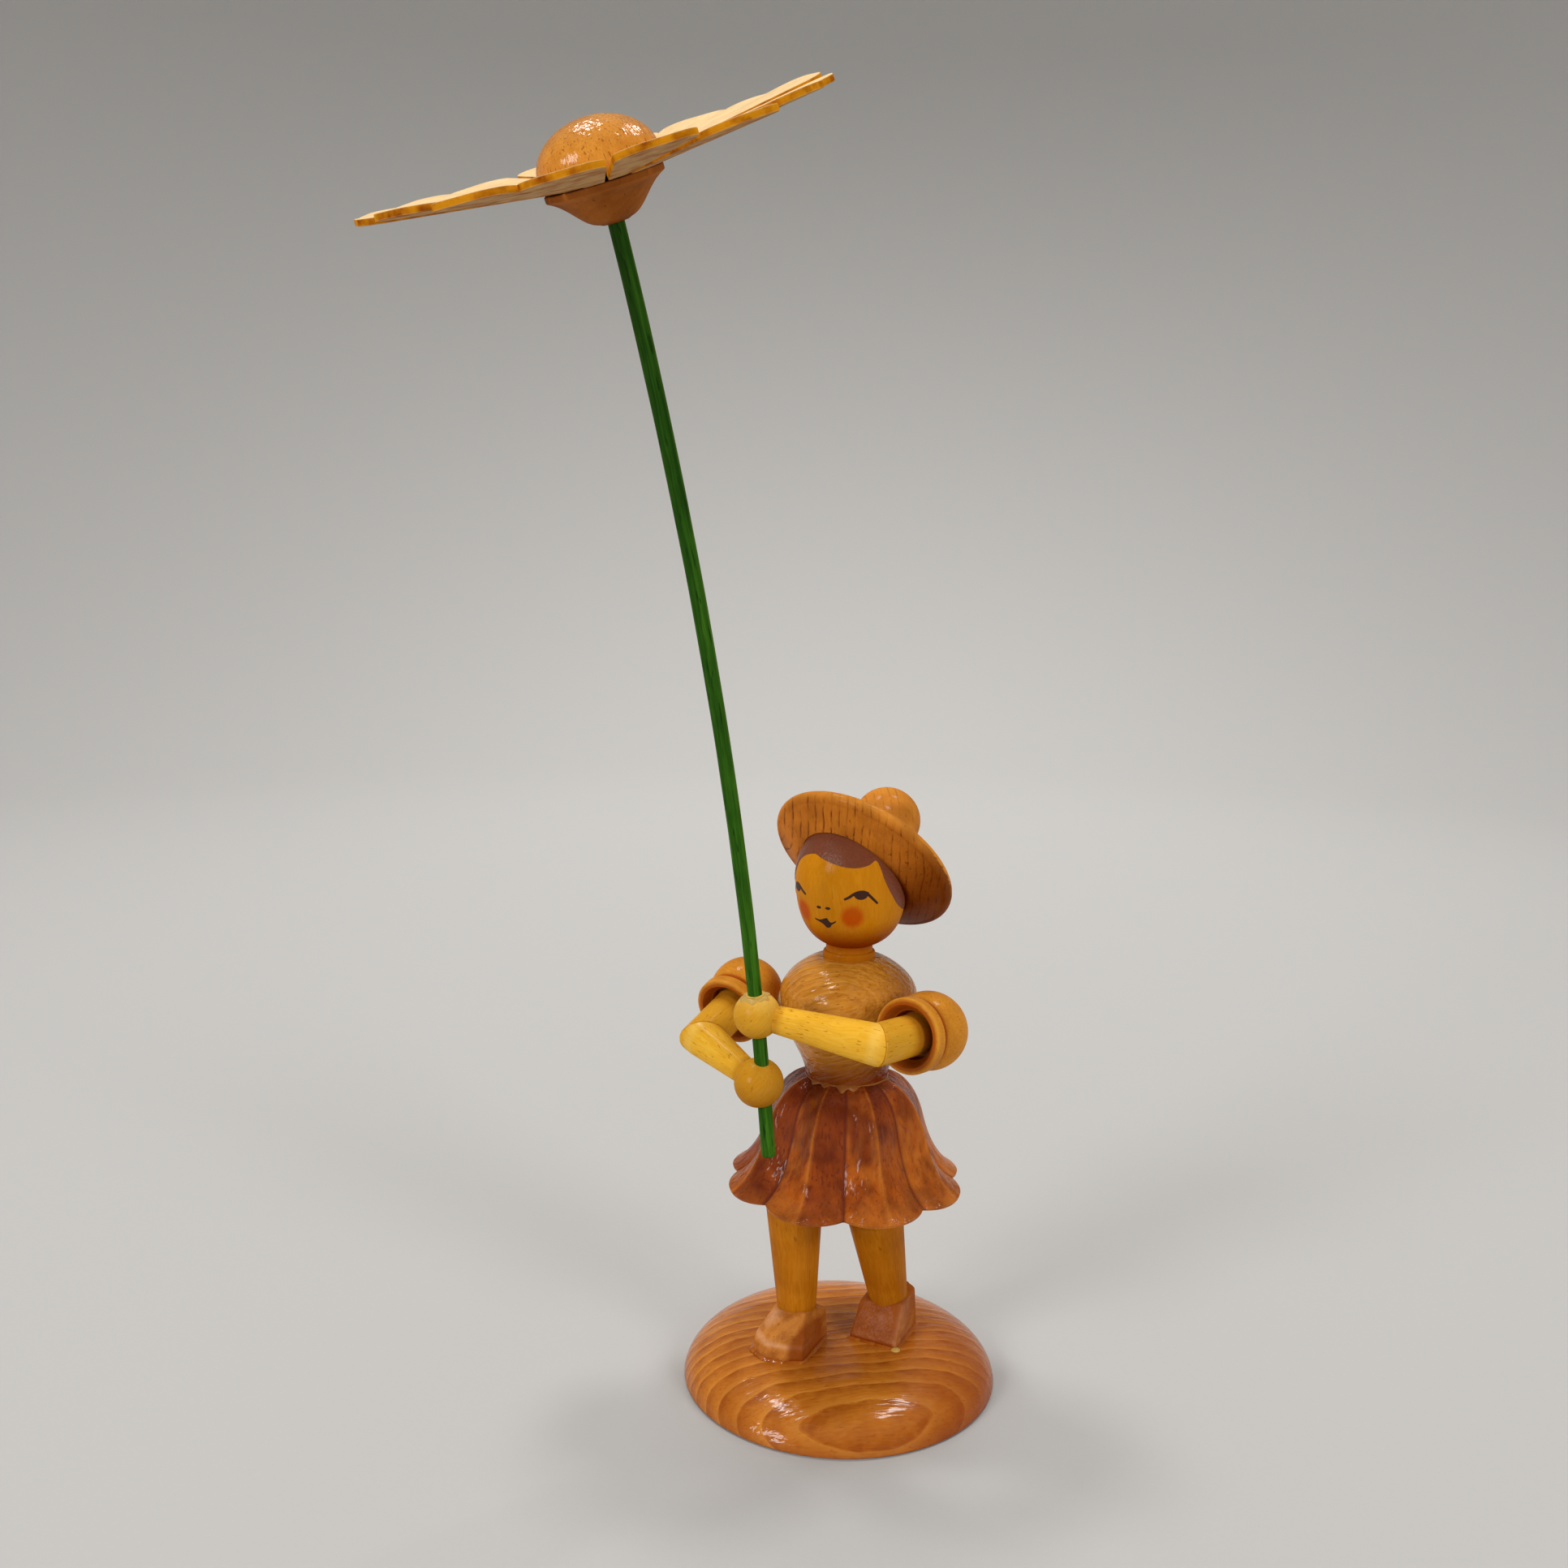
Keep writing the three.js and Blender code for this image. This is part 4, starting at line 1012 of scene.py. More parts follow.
class FLOWERCHILD_OT_torso(bpy.types.Operator):
    """Turns the torso and the neck"""
    bl_idname = "flower_child.torso"
    bl_label = "Torso and neck"

    def execute(self, context):
        # Golden brown ring-porous wood: nested growth arcs on the shoulders, flecks in the varnish
        wood = stained_wood(
            "Golden-brown stained ash, gloss varnish", "torso", "#E2A046", "#86440A", shade="#7A2E04",
            ring=1.25, ring_depth=0.3, broken=0.8, early_depth=0.2, fibre=(0.22, 4.0), fibre_depth=0.6,
            fleck=(0.2, 1.6), fleck_level=0.68, fleck_depth=0.4, blotch_depth=0.25, rough=0.38, coat=1.0,
            coat_rough=0.14, relief=0.05, ripple=0.18)
        profile = Profile(0, -0.7).line(TORSO_WAIST_RADIUS - 0.3, -0.7, 4)
        profile.line(TORSO_WAIST_RADIUS - 0.05, -0.3).line(TORSO_WAIST_RADIUS, 0, 2)
        profile.curve(TORSO_RADIUS, TORSO_CHEST_HEIGHT, (0.5, 3.6), (0, -5.6), 30)
        profile.curve(TORSO_TOP_RADIUS, TORSO_HEIGHT, (0, 2.2), (2.2, -0.7), 24)
        profile.line(0, TORSO_HEIGHT, 5)
        place = standing(0, 0, WAIST)
        piece = turned("torso", profile, place, FINE_AROUND)
        # Its heart lies in front of the chest, so the growth lines nest round a spot there
        azimuth = context.scene.flower_child_studio.azimuth
        nested = Matrix.Rotation(math.pi / 2, 4, "Y") @ Matrix.Translation(TORSO_HEART)
        nested = nested @ Matrix.Rotation(0.35, 4, "Y") @ Matrix.Rotation(0.25 - azimuth, 4, "Z")
        # Painted shade: darker towards the waist and towards the picture's right
        dress(piece, place, "torso", wood, nested,
              shade=lambda p: clamp(0.9 * smooth_step(6 - p.z, 0, 6)
                                    + 0.5 * smooth_step(p.xy.dot((0.8, 0.6)), 2, 9)))

        neck = Profile(0, -0.5).line(NECK_RADIUS + NECK_BEAD, -0.5, 3).line(NECK_RADIUS + NECK_BEAD, 0.05)
        neck.arc((NECK_RADIUS, 0.3), (NECK_BEAD, 0.4), -0.4, math.pi / 2, 10)
        top = NECK_HEIGHT + 1.6
        neck.line(NECK_RADIUS - 0.05, 0.8).line(NECK_RADIUS, top, 6).line(0, top, 3)
        place = standing(0, 0, COLLAR)
        piece = turned("neck", neck, place)
        # Painted shade over the whole neck, darkest up under the head
        dress(piece, place, "neck", golden_face(), grain_along((0, 0, 1), (8, 3, 0)),
              shade=lambda p: 0.45 + 0.4 * smooth_step(p.z, 0.6, NECK_HEIGHT + 0.5))
        return {"FINISHED"}


def golden_face():
    """The wood of head and neck, made once. Its tint is the rouge on the cheeks."""
    name = "Golden-stained maple, satin varnish"
    # Close-grained golden wood: fine upright fibres, almost no pores, soft gloss
    return bpy.data.materials.get(name) or stained_wood(
        name, "face", "#D4901E", "#A05604", shade="#802200", tint_and_highlight="#B83A04", ring=2.6, ring_depth=0.08,
        fibre=(0.2, 5), fibre_depth=0.4, fleck_level=0.76, fleck_depth=0.3, blotch=9, blotch_depth=0.25,
        rough=0.44, coat=0.2, coat_rough=0.16)


# Head, hair and face

def head_radius_at(size, height):
    """Radius of the head's surface at a height above its widest ring."""
    points = head_profile(size).points
    for (r0, h0), (r1, h1) in zip(points, points[1:]):
        if h0 <= height <= h1:
            return r0 + (r1 - r0) * (height - h0) / max(h1 - h0, 1e-9)
    return 0.0


def head_profile(size):
    radius = mm(size.head_radius)
    profile = Profile(0, -HEAD_CHIN)
    profile.curve(radius, 0, (0.7 * radius, 0), (0, -0.67 * HEAD_CHIN), 48)
    return profile.arc((0, 0), (radius, HEAD_TOP), 0, math.pi / 2, 40)


class FLOWERCHILD_OT_head(bpy.types.Operator):
    """Turns the head and paints its hair and face"""
    bl_idname = "flower_child.head"
    bl_label = "Head"

    def execute(self, context):
        self.size = context.scene.flower_child_body
        self.place = standing(0, 0, HEAD) @ Matrix.Rotation(HEAD_NOD, 4, "X")
        piece = turned("head", head_profile(self.size), self.place, HEAD_AROUND)
        cheeks = [self.on_face(way * CHEEK[0], CHEEK[1]) for way in (-1, 1)]

        def rouge(p):
            gap = min((p - spot).length for spot in cheeks)
            patchy = 0.12 * noise.noise(p * 2.5)
            return 0.85 * (1 - smooth_step(gap + patchy, CHEEK_RADIUS * 0.55, CHEEK_RADIUS * 1.15))

        # Painted shade under the chin; the tint is the rouge on the cheeks
        dress(piece, self.place, "head", golden_face(), grain_along((0, 0, 1), (17, 9, 0)),
              shade=lambda p: 0.85 * smooth_step(-p.z, 3.4, 8.0), tint_and_highlight=rouge)
        # Thick dark brown paint, brushed on: its lumps sparkle under the hat
        hair = paint("Dark brown hair paint", "#7C4026", 0.32, grit=0.4, lumps=0.14)
        self.comb_hair(hair)
        # Thin dark line work drawn with a fine brush
        line = paint("Black-brown face paint", "#3A1B0E", 0.5, grit=0.3, lumps=0.01)
        for side, way in (("right", -1), ("left", 1)):
            lid = [self.on_face(way * a, h) for a, h in finer(EYE_LID, 5)]
            self.film(f"eye_lid_{side}", *self.brushed(lid, EYE_LID_WIDTH), line)
            self.film(f"pupil_{side}", *self.half_disc(way), line)
            self.film(f"nostril_{side}", *self.dash(way * NOSTRIL[0], NOSTRIL[1]), line)
        upper = [self.on_face(a, h) for a, h in finer(MOUTH_TOP, 5)]
        lower = [self.on_face(a, h) for a, h in finer(MOUTH_BOTTOM, 5)]
        self.film("mouth", upper, lower[::-1], line)
        return {"FINISHED"}

    def on_face(self, degrees, height, lift=0.0):
        """A point on the head, so many degrees round from the middle of the face."""
        angle = math.radians(degrees) + FACE_TURN
        radius = head_radius_at(self.size, height) + lift
        return Vector((radius * math.sin(angle), -radius * math.cos(angle), height))

    def dash(self, degrees, height):
        """The upper and lower edge of a short flat dab."""
        steps = [2 * i / FILM_STEPS - 1 for i in range(FILM_STEPS + 1)]
        edges = []
        for way in (1, -1):
            rises = [way * (0.02 + NOSTRIL_SIZE[1] * math.sqrt(1 - t * t)) for t in steps]
            spots = [(degrees + NOSTRIL_SIZE[0] * t, height + rise) for t, rise in zip(steps, rises)]
            edges.append([self.on_face(*spot) for spot in spots])
        return edges

    def half_disc(self, way):
        """The upper and lower edge of a pupil that hangs from the lid."""
        turns = [math.pi * i / FILM_STEPS for i in range(FILM_STEPS + 1)]
        spans = [(way * (PUPIL[0] + PUPIL_SIZE[0] * math.cos(a)), math.sin(a)) for a in turns]
        upper = [self.on_face(a, PUPIL[1] + 0.15 * deep) for a, deep in spans]
        return upper, [self.on_face(a, PUPIL[1] - 0.03 - PUPIL_SIZE[1] * deep) for a, deep in spans]

    def brushed(self, points, width):
        """The upper and lower edge of a brush stroke that thins out at its ends."""
        upper = []
        lower = []
        for i, point in enumerate(points):
            before = points[max(i - 1, 0)]
            after = points[min(i + 1, len(points) - 1)]
            out = Vector((point.x, point.y, 0)).normalized()
            side = out.cross((after - before).normalized())
            press = 0.7 + 0.3 * math.sin(math.pi * i / (len(points) - 1))
            upper.append(point + side * width / 2 * press)
            lower.append(point - side * width / 2 * press)
        return upper, lower

    def film(self, name, upper, lower, material, rows=FILM_ROWS):
        """A thin coat of paint on the head between two lines, closed all round."""
        columns = len(upper)
        layer = columns * (rows + 1)
        points = []
        for lift in (FILM_LIFT, -FILM_DEPTH):
            for row in range(rows + 1):
                for high, low in zip(upper, lower):
                    points.append(self.laid(high.lerp(low, row / rows), lift))
        faces = []
        for row in range(rows):
            for c in range(columns - 1):
                a = row * columns + c
                quad = [a, a + 1, a + columns + 1, a + columns]
                faces.append(quad)
                faces.append([layer + i for i in reversed(quad)])
        rim = list(range(columns)) + [row * columns + columns - 1 for row in range(1, rows + 1)]
        rim += [rows * columns + c for c in range(columns - 2, -1, -1)]
        rim += [row * columns for row in range(rows - 1, 0, -1)]
        for a, b in zip(rim, rim[1:] + rim[:1]):
            faces.append([b, a, layer + a, layer + b])
        piece = body(name, points, faces, self.place)
        outward(piece)
        dress(piece, self.place, None, material, Matrix())

    def laid(self, spot, lift):
        """A point moved straight out to the head's surface, and a little above or below it."""
        radius = head_radius_at(self.size, spot.z) + lift
        flat = Vector((spot.x, spot.y, 0)).normalized() * radius
        return Vector((flat.x, flat.y, spot.z))

    def comb_hair(self, material):
        """A coat of paint from the hairline to the crown, which thins out at its edge."""
        line = finer(HAIRLINE, 6)[:-1]
        outer = []
        inner = []
        for j in range(HAIR_STEPS + 1):
            share = j / HAIR_STEPS
            lifted = []
            for degrees, foot in line:
                height = foot + (HAIR_TOP - foot) * math.sin(share * math.pi / 2)
                strand = 0.03 * noise.noise(Vector((degrees * 0.25, height * 0.4, 1)))
                lift = (HAIR_LIFT + strand) * smooth_step(share, -0.02, 0.06) + 0.01
                lifted.append((degrees, height, lift))
            outer.append([self.on_face(*spot) for spot in lifted])
            inner.append([self.on_face(*spot[:2], -HAIR_DEPTH) for spot in lifted])
        piece = hoop("hair", outer + inner[::-1], self.place)
        dress(piece, self.place, None, material, Matrix())


def finer(line, steps):
    """A line of points drawn through with more points, smoothly."""
    result = []
    count = len(line)
    for i in range(count - 1):
        p0 = Vector(line[max(i - 1, 0)])
        p1 = Vector(line[i])
        p2 = Vector(line[i + 1])
        p3 = Vector(line[min(i + 2, count - 1)])
        for k in range(steps):
            t = k / steps
            result.append(0.5 * (2 * p1 + (p2 - p0) * t + (2 * p0 - 5 * p1 + 4 * p2 - p3) * t * t
                                 + (3 * p1 - p0 - 3 * p2 + p3) * t ** 3))
    result.append(Vector(line[-1]))
    return result


# Hat

class FLOWERCHILD_OT_hat(bpy.types.Operator):
    """Turns the hat and hollows it to fit the head"""
    bl_idname = "flower_child.hat"
    bl_label = "Hat"

    def execute(self, context):
        size = context.scene.flower_child_body
        head = mm(size.head_radius)
        brim = mm(size.brim_radius)
        crown = mm(size.crown_radius)
        lip = BRIM_THICKNESS / 2
        foot = head + CROWN_WALL
        valley = BRIM_RISE + CROWN_FOOT_RISE
        dome = CROWN_HEIGHT - crown
        profile = Profile(0, HAT_RIM).line(head - 1, HAT_RIM, 5).line(head, HAT_RIM, 4)
        profile.curve(brim - lip, BRIM_RISE - lip, (1.5, 0), (-1.05, -0.6), 26)
        profile.arc((brim - lip, BRIM_RISE), (lip, lip), -math.pi / 2, math.pi / 2, 18)
        profile.curve(foot, valley, (-1.55, -0.4), (1, -1.2), 22)
        profile.curve(crown, dome, (-1.6, 2), (0.4, -3.4), 22)
        profile.arc((0, dome), (crown, crown), 0, math.pi / 2, 20)
        place = standing(0, 0, HEAD) @ Matrix.Rotation(-HAT_TILT, 4, "X")
        piece = turned("hat", profile, place, FINE_AROUND)
        # Head-shaped hollow, with just room for the coat of hair
        nod = standing(0, 0, HEAD) @ Matrix.Rotation(HEAD_NOD, 4, "X") @ Matrix.Scale(HAT_EASE, 4)
        carved(piece, turned("hat_hollow", head_profile(size), nod))
        # Orange-brown stain: dark lines of late wood cross the brim and the crown is golden;
        # a painted highlight lightens the lip
        wood = stained_wood(
            "Orange-brown stained pine, satin varnish", "hat", "#CE8026", "#5E2404", shade="#561A02",
            tint_and_highlight="#D69038", ring=1.05, late=0.3, ring_depth=1.0, broken=0.9, wander=0.35,
            fibre=(0.15, 2.4), blotch=5, coat=0.18, coat_rough=0.16)

        def shade(p):
            # Painted shade under the brim by the head, and over the brim towards the picture's lower
            # right
            under = smooth_step(1.2 - (p.xy.length - head), 0, 1.5) * (p.z < BRIM_RISE - 0.6)
            low = smooth_step(p.xy.dot((0.62, 0.78)), -1, 8) * (p.z < BRIM_RISE)
            return clamp(0.75 * under + 0.75 * low)

        def tint_and_highlight(p):
            # Painted highlight on the lip of the brim
            rim = smooth_step(p.xy.length, brim - 1.5, brim - 0.3)
            rim *= smooth_step(p.z, BRIM_RISE - 1, BRIM_RISE)
            return clamp(0.55 * rim + 0.5 * smooth_step(p.z, valley - 1, valley + 1.5))

        azimuth = context.scene.flower_child_studio.azimuth
        planks = Matrix.Translation((90, 0, 0)) @ Matrix.Rotation(-azimuth - 0.05, 4, "Z")
        planks = planks @ place.to_3x3().to_4x4()
        dress(piece, place, "hat", wood, planks, shade, tint_and_highlight)
        return {"FINISHED"}


# Sleeves and arms

def sleeve_place(arm, sleeve_radius):
    """The frame of a sleeve: its +Z runs down the upper arm."""
    reach = TORSO_RADIUS + FIT_GAP + sleeve_radius
    out = Vector((arm["side"] * math.cos(arm["forward"]), -math.sin(arm["forward"]), 0))
    heading = Matrix.Rotation(-arm["side"] * arm["turn"], 4, "Z") @ Matrix.Rotation(
        math.pi / 2 + arm["droop"], 4, "X")
    return standing(*(out.xy * reach), SHOULDER) @ heading


class FLOWERCHILD_OT_sleeves(bpy.types.Operator):
    """Turns the two puffed sleeves with their hollow cuffs"""
    bl_idname = "flower_child.sleeves"
    bl_label = "Sleeves"

    def execute(self, context):
        size = context.scene.flower_child_body
        ball = mm(size.sleeve_radius)
        bore = mm(size.arm_radius) + FIT_GAP
        groove = ball - GROOVE_DEPTH
        turn = math.acos(groove / ball)
        start = ball * math.sin(turn)
        mouth = start + CUFF_LENGTH
        rim = CUFF_RADIUS - CUFF_WALL
        # Orange-brown stain over close grain. Raw red-brown end grain shows inside the cuff, deepened
        # there by painted shade; painted shade fills the groove, and a painted highlight lines the cuff's
        # edge
        wood = stained_wood(
            "Orange-brown stained beech, satin varnish", "sleeve", "#D89632", "#8A480A", shade="#9C440C",
            tint_and_highlight="#DC9A38", ring=1.2, ring_depth=0.12, broken=0.9, fibre=(0.14, 2.2), fleck=(0.2, 1.0),
            fleck_level=0.71, fleck_depth=0.4, blotch=5, coat=0.25, coat_rough=0.14)
        profile = Profile(0, -ball).arc((0, 0), (ball, ball), -math.pi / 2, turn, 44)
        profile.curve(CUFF_RADIUS - 0.15, start + 0.55, (0.05, 0.05), (-0.35, -0.15), 8)
        profile.line(CUFF_RADIUS, start + 0.75).line(CUFF_RADIUS, mouth - 0.3, 3)
        profile.arc((CUFF_RADIUS - 0.3, mouth - 0.3), (0.3, 0.3), 0, math.pi / 2, 6)
        profile.line(rim + 0.1, mouth, 2).line(rim, mouth - 0.12)
        profile.line(bore + 0.4, mouth - CUFF_RECESS, 6).line(bore + 0.25, mouth - CUFF_RECESS - 0.12)
        profile.line(bore + 0.1, BORE_DEPTH, 5).line(0, BORE_DEPTH, 3)
        for side, arm in ARMS.items():
            place = sleeve_place(arm, ball)
            piece = turned(f"sleeve_{side}", profile, place)

            def shade(p):
                radius = p.xy.length
                # Painted shade inside the cuff, over the real end grain, and in the groove
                hollow = smooth_step(CUFF_RADIUS - 0.25 - radius, 0, 0.3) * (p.z > BORE_DEPTH - 0.5)
                gap = smooth_step(0.5 - abs(p.z - start - 0.1), 0, 0.4)
                gap *= smooth_step(groove + 0.5 - radius, 0, 0.5)
                return clamp(0.85 * hollow + 0.6 * gap)

            def tint_and_highlight(p):
                # Painted highlight on the cuff's outer edge
                lip = smooth_step(p.z, mouth - 0.6, mouth - 0.3)
                return 0.45 * lip * smooth_step(p.xy.length, CUFF_RADIUS - 0.3, CUFF_RADIUS)

            grain = grain_along((0.8, 0.2, 0.5), (5, 4, 0))
            dress(piece, place, f"sleeve_{side}", wood, grain, shade, tint_and_highlight)
        return {"FINISHED"}


class FLOWERCHILD_OT_arms(bpy.types.Operator):
    """Turns the arms, mitres them at the elbows and sets the hands on the stem"""
    bl_idname = "flower_child.arms"
    bl_label = "Arms and hands"

    def execute(self, context):
        size = context.scene.flower_child_body
        radius = mm(size.arm_radius)
        # Pale yellow hardwood: straight fibres and short dark pores, hardly any stain
        wood = stained_wood(
            "Natural beech, satin varnish", "arm", "#F0C04A", "#BC7A0E", shade="#96560A", tint_and_highlight="#F2CC6E",
            ring=1.7, ring_depth=0.12, fibre=(0.13, 5), fleck=(0.15, 1.1), fleck_level=0.69, blotch=5,
            blotch_depth=0.3, rough=0.42, coat=0.2, coat_rough=0.16, relief=0.025)
        for side, arm in ARMS.items():
            place = sleeve_place(arm, mm(size.sleeve_radius))
            ball = mm(size.left_hand_radius if side == "left" else size.right_hand_radius)
            elbow = place @ Vector((0, 0, UPPER_ARM_LENGTH))
            hand = stem_point(-arm["below"]) + Vector((arm["side"] * arm["aside"], 0, 0))
            reach = hand - elbow
            along = (elbow - place.translation).normalized()
            mitre = (along + reach.normalized()).normalized()
            upper = self.rod(f"upper_arm_{side}", place, elbow, mitre, radius, BORE_DEPTH + 0.1)
            # Painted shade over the upper arm, darkest where it comes out of the cuff
            dress(upper, place, f"upper_arm_{side}", wood, grain_along((0, 0, 1), (9, 5, 3)),
                  shade=lambda p: 0.32 + 0.5 * smooth_step(7.5 - p.z, 0, 2))
            fore_place = aimed(Matrix(), elbow, reach)
            fore = self.forearm(f"forearm_{side}", fore_place, elbow, mitre, radius, reach.length, ball)
            grain = grain_along((0, 0, 1), (7, 9, 31))
            dress(fore, fore_place, f"forearm_{side}", wood, grain,
                  shade=lambda p, end=reach.length - ball: 0.5 * smooth_step(p.z, end - 0.5, end + 0.1),
                  tint_and_highlight=lambda p: 0.35 * smooth_step(1.2 - abs(p.z), 0, 1))
            palm_place = Matrix.Translation(hand)
            profile = Profile(0, -ball).arc((0, 0), (ball, ball), -math.pi / 2, math.pi / 2, 48)
            palm = turned(f"hand_{side}", profile, palm_place, HAND_AROUND)
            grain = grain_along((0.5, 0.3, 0.8), (6, 3, 50))
            # The lower hand is darker; painted shade darkens each ball towards its bottom, and a painted
            # highlight lightens the upper hand's top
            dress(palm, palm_place, f"hand_{side}", wood, grain,
                  shade=lambda p, low=side == "right": (0.65 if low else 0.35) - 0.06 * p.z,
                  tint_and_highlight=lambda p, low=side == "right": 0.0 if low else 0.5 * smooth_step(p.z, 0.3, 2.8))
        return {"FINISHED"}

    def rod(self, name, place, elbow, mitre, radius, start):
        """An upper arm, cut off along the mitre with a small chamfer."""
        axis = place.to_3x3() @ UP
        sections = []
        for step in range(UPPER_ARM_STEPS + 2):
            share = min(step / UPPER_ARM_STEPS, 1)
            thin = MITRE_CHAMFER if step > UPPER_ARM_STEPS else 0.0
            ring = []
            for spoke in self.spokes(radius - thin):
                foot = place @ Vector((spoke.x, spoke.y, 0))
                end = (elbow - foot).dot(mitre) / axis.dot(mitre) - MITRE_GLUE - MITRE_CHAMFER + thin
                ring.append(Vector((spoke.x, spoke.y, start + (end - start) * share)))
            sections.append(ring)
        return lofted(name, sections, place)

    def forearm(self, name, place, elbow, mitre, radius, length, ball):
        """A forearm from the mitre to the hand, tapered to the wrist."""
        axis = place.to_3x3() @ UP
        taper = (radius - WRIST_RADIUS) / (length - ball)
        sections = []
        for step in range(FOREARM_STEPS + 2):
            thin = MITRE_CHAMFER if step == 0 else 0.0
            share = max(step - 1, 0) / FOREARM_STEPS
            ring = []
            for way in self.spokes(1.0):
                near = 0.0
                for _ in range(4):
                    wide = radius - max(near, 0) * taper - thin
                    foot = place @ (way * wide)
                    near = (elbow - foot).dot(mitre) / axis.dot(mitre) + MITRE_GLUE + MITRE_CHAMFER - thin
                far = length - ball * 0.7
                at = near + (far - near) * share
                wide = radius - max(at, 0) * taper - thin
                ring.append(Vector((way.x * wide, way.y * wide, at)))
            sections.append(ring)
        return lofted(name, sections, place)

    def spokes(self, radius):
        turns = [2 * math.pi * j / ARM_AROUND for j in range(ARM_AROUND)]
        return [Vector((*polar(radius, a), 0)) for a in turns]


# Stem and flower

def stem_lean(distance):
    return STEM_GRIP_LEAN + distance / STEM_BOW_RADIUS


def stem_point(distance):
    """A point on the stem, so far above the upper hand along its arc."""
    lean = stem_lean(distance)
    start = Vector((0, *polar(STEM_BOW_RADIUS, STEM_GRIP_LEAN)))
    return STAND + GRIP + UP * SHOULDER + Vector((0, *polar(STEM_BOW_RADIUS, lean))) - start


def flower_place():
    lean = stem_lean(STEM_REACH) + FLOWER_NOD
    turn = Matrix.Rotation(lean, 4, "X") @ Matrix.Rotation(-FLOWER_SIDE_LEAN, 4, "Y")
    return Matrix.Translation(stem_point(STEM_REACH)) @ turn


DISH = math.tan(PETAL_RAISE)
HUB = CALYX_HEIGHT - CALYX_RADIUS * DISH


class FLOWERCHILD_OT_stem(bpy.types.Operator):
    """Bends the stem"""
    bl_idname = "flower_child.stem"
    bl_label = "Stem"

    def execute(self, context):
        radius = mm(context.scene.flower_child_flower.stem_radius)
        # Thin rod soaked in green stain: long streaks, some nearly black; a pale yellow-green painted
        # highlight runs down its lit side
        wood = stained_wood(
            "Green-stained birch rod", "stem", "#52881E", "#0C2C04", shade="#0A2004", tint_and_highlight="#86982E",
            ring=0.55, ring_depth=0.6, wander=0.12, fibre=(0.22, 16), fleck=(0.25, 3), fleck_level=0.66,
            blotch=8, blotch_depth=0.5, rough=0.42, coat=0.2, coat_rough=0.16, relief=0.05)
        top = STEM_REACH + HUB + 3.4
        first = 0.5 - STEM_TAIL
        stations = [(-STEM_TAIL, 0.78), (-STEM_TAIL + 0.15, 0.97)]
        stations += [(first + (top - first) * i / STEM_STEPS, 1.0) for i in range(STEM_STEPS + 1)]
        sections = []
        grain = [STEM_HEART - UP * STEM_TAIL]
        for distance, share in stations:
            lean = stem_lean(distance)
            across = Vector((0, *polar(1, lean)))
            centre = stem_point(distance)
            ring = []
            for j in range(STEM_AROUND):
                a = 2 * math.pi * j / STEM_AROUND
                knot = 1 + 0.035 * noise.noise(Vector((*polar(1, a), distance * 0.12)))
                aside, back = polar(radius * share * knot, a)
                ring.append(centre + Vector((aside, 0, 0)) + across * back)
                grain.append(STEM_HEART + Vector((*polar(radius, a), distance)))
            sections.append(ring)
        grain.append(STEM_HEART + UP * top)
        piece = lofted("stem", sections, Matrix())
        lit_side = Vector(polar(1, STEM_STREAK_TURN))
        dress(piece, Matrix(), "stem", wood, grain,
              shade=lambda p: 0.5 * smooth_step(stem_point(-STEM_TAIL).z + 0.5 - p.z, 0, 0.8)
              + 0.4 * smooth_step(p.z, 70, 150))
        # Painted highlight down the stem's lit side
        lit_streak = [0.45 * smooth_step(g.xy.normalized().dot(lit_side), 0.75, 1.0) for g in grain]
        store(piece.data, "tint_and_highlight", "FLOAT", "value", lit_streak)
        self.hand_glue(context, radius)
        return {"FINISHED"}

    def hand_glue(self, context, radius):
        """A ring of glue where the stem leaves the upper hand."""
        ball = mm(context.scene.flower_child_body.left_hand_radius)
        lean = stem_lean(ball)
        spot = stem_point(math.sqrt(ball ** 2 - HAND_GLUE_RING ** 2) - 0.05)
        place = Matrix.Translation(spot) @ Matrix.Rotation(lean, 4, "X")
        profile = Profile(0, -0.5).line(radius + 0.75, -0.5, 3).line(radius + 0.95, -0.2, 2)
        profile.arc((radius + 0.35, -0.15), (0.58, 0.55), 0, math.pi * 0.72, 10).line(0, 0.1, 3)
        piece = turned("hand_glue", profile, place, 64)
        for vert in piece.data.vertices:
            point = vert.co / MM
            vert.co += (point - spot) * 0.16 * noise.noise(point * 1.3) * MM
        dress(piece, place, None, bpy.data.materials["Dried amber glue"], Matrix())


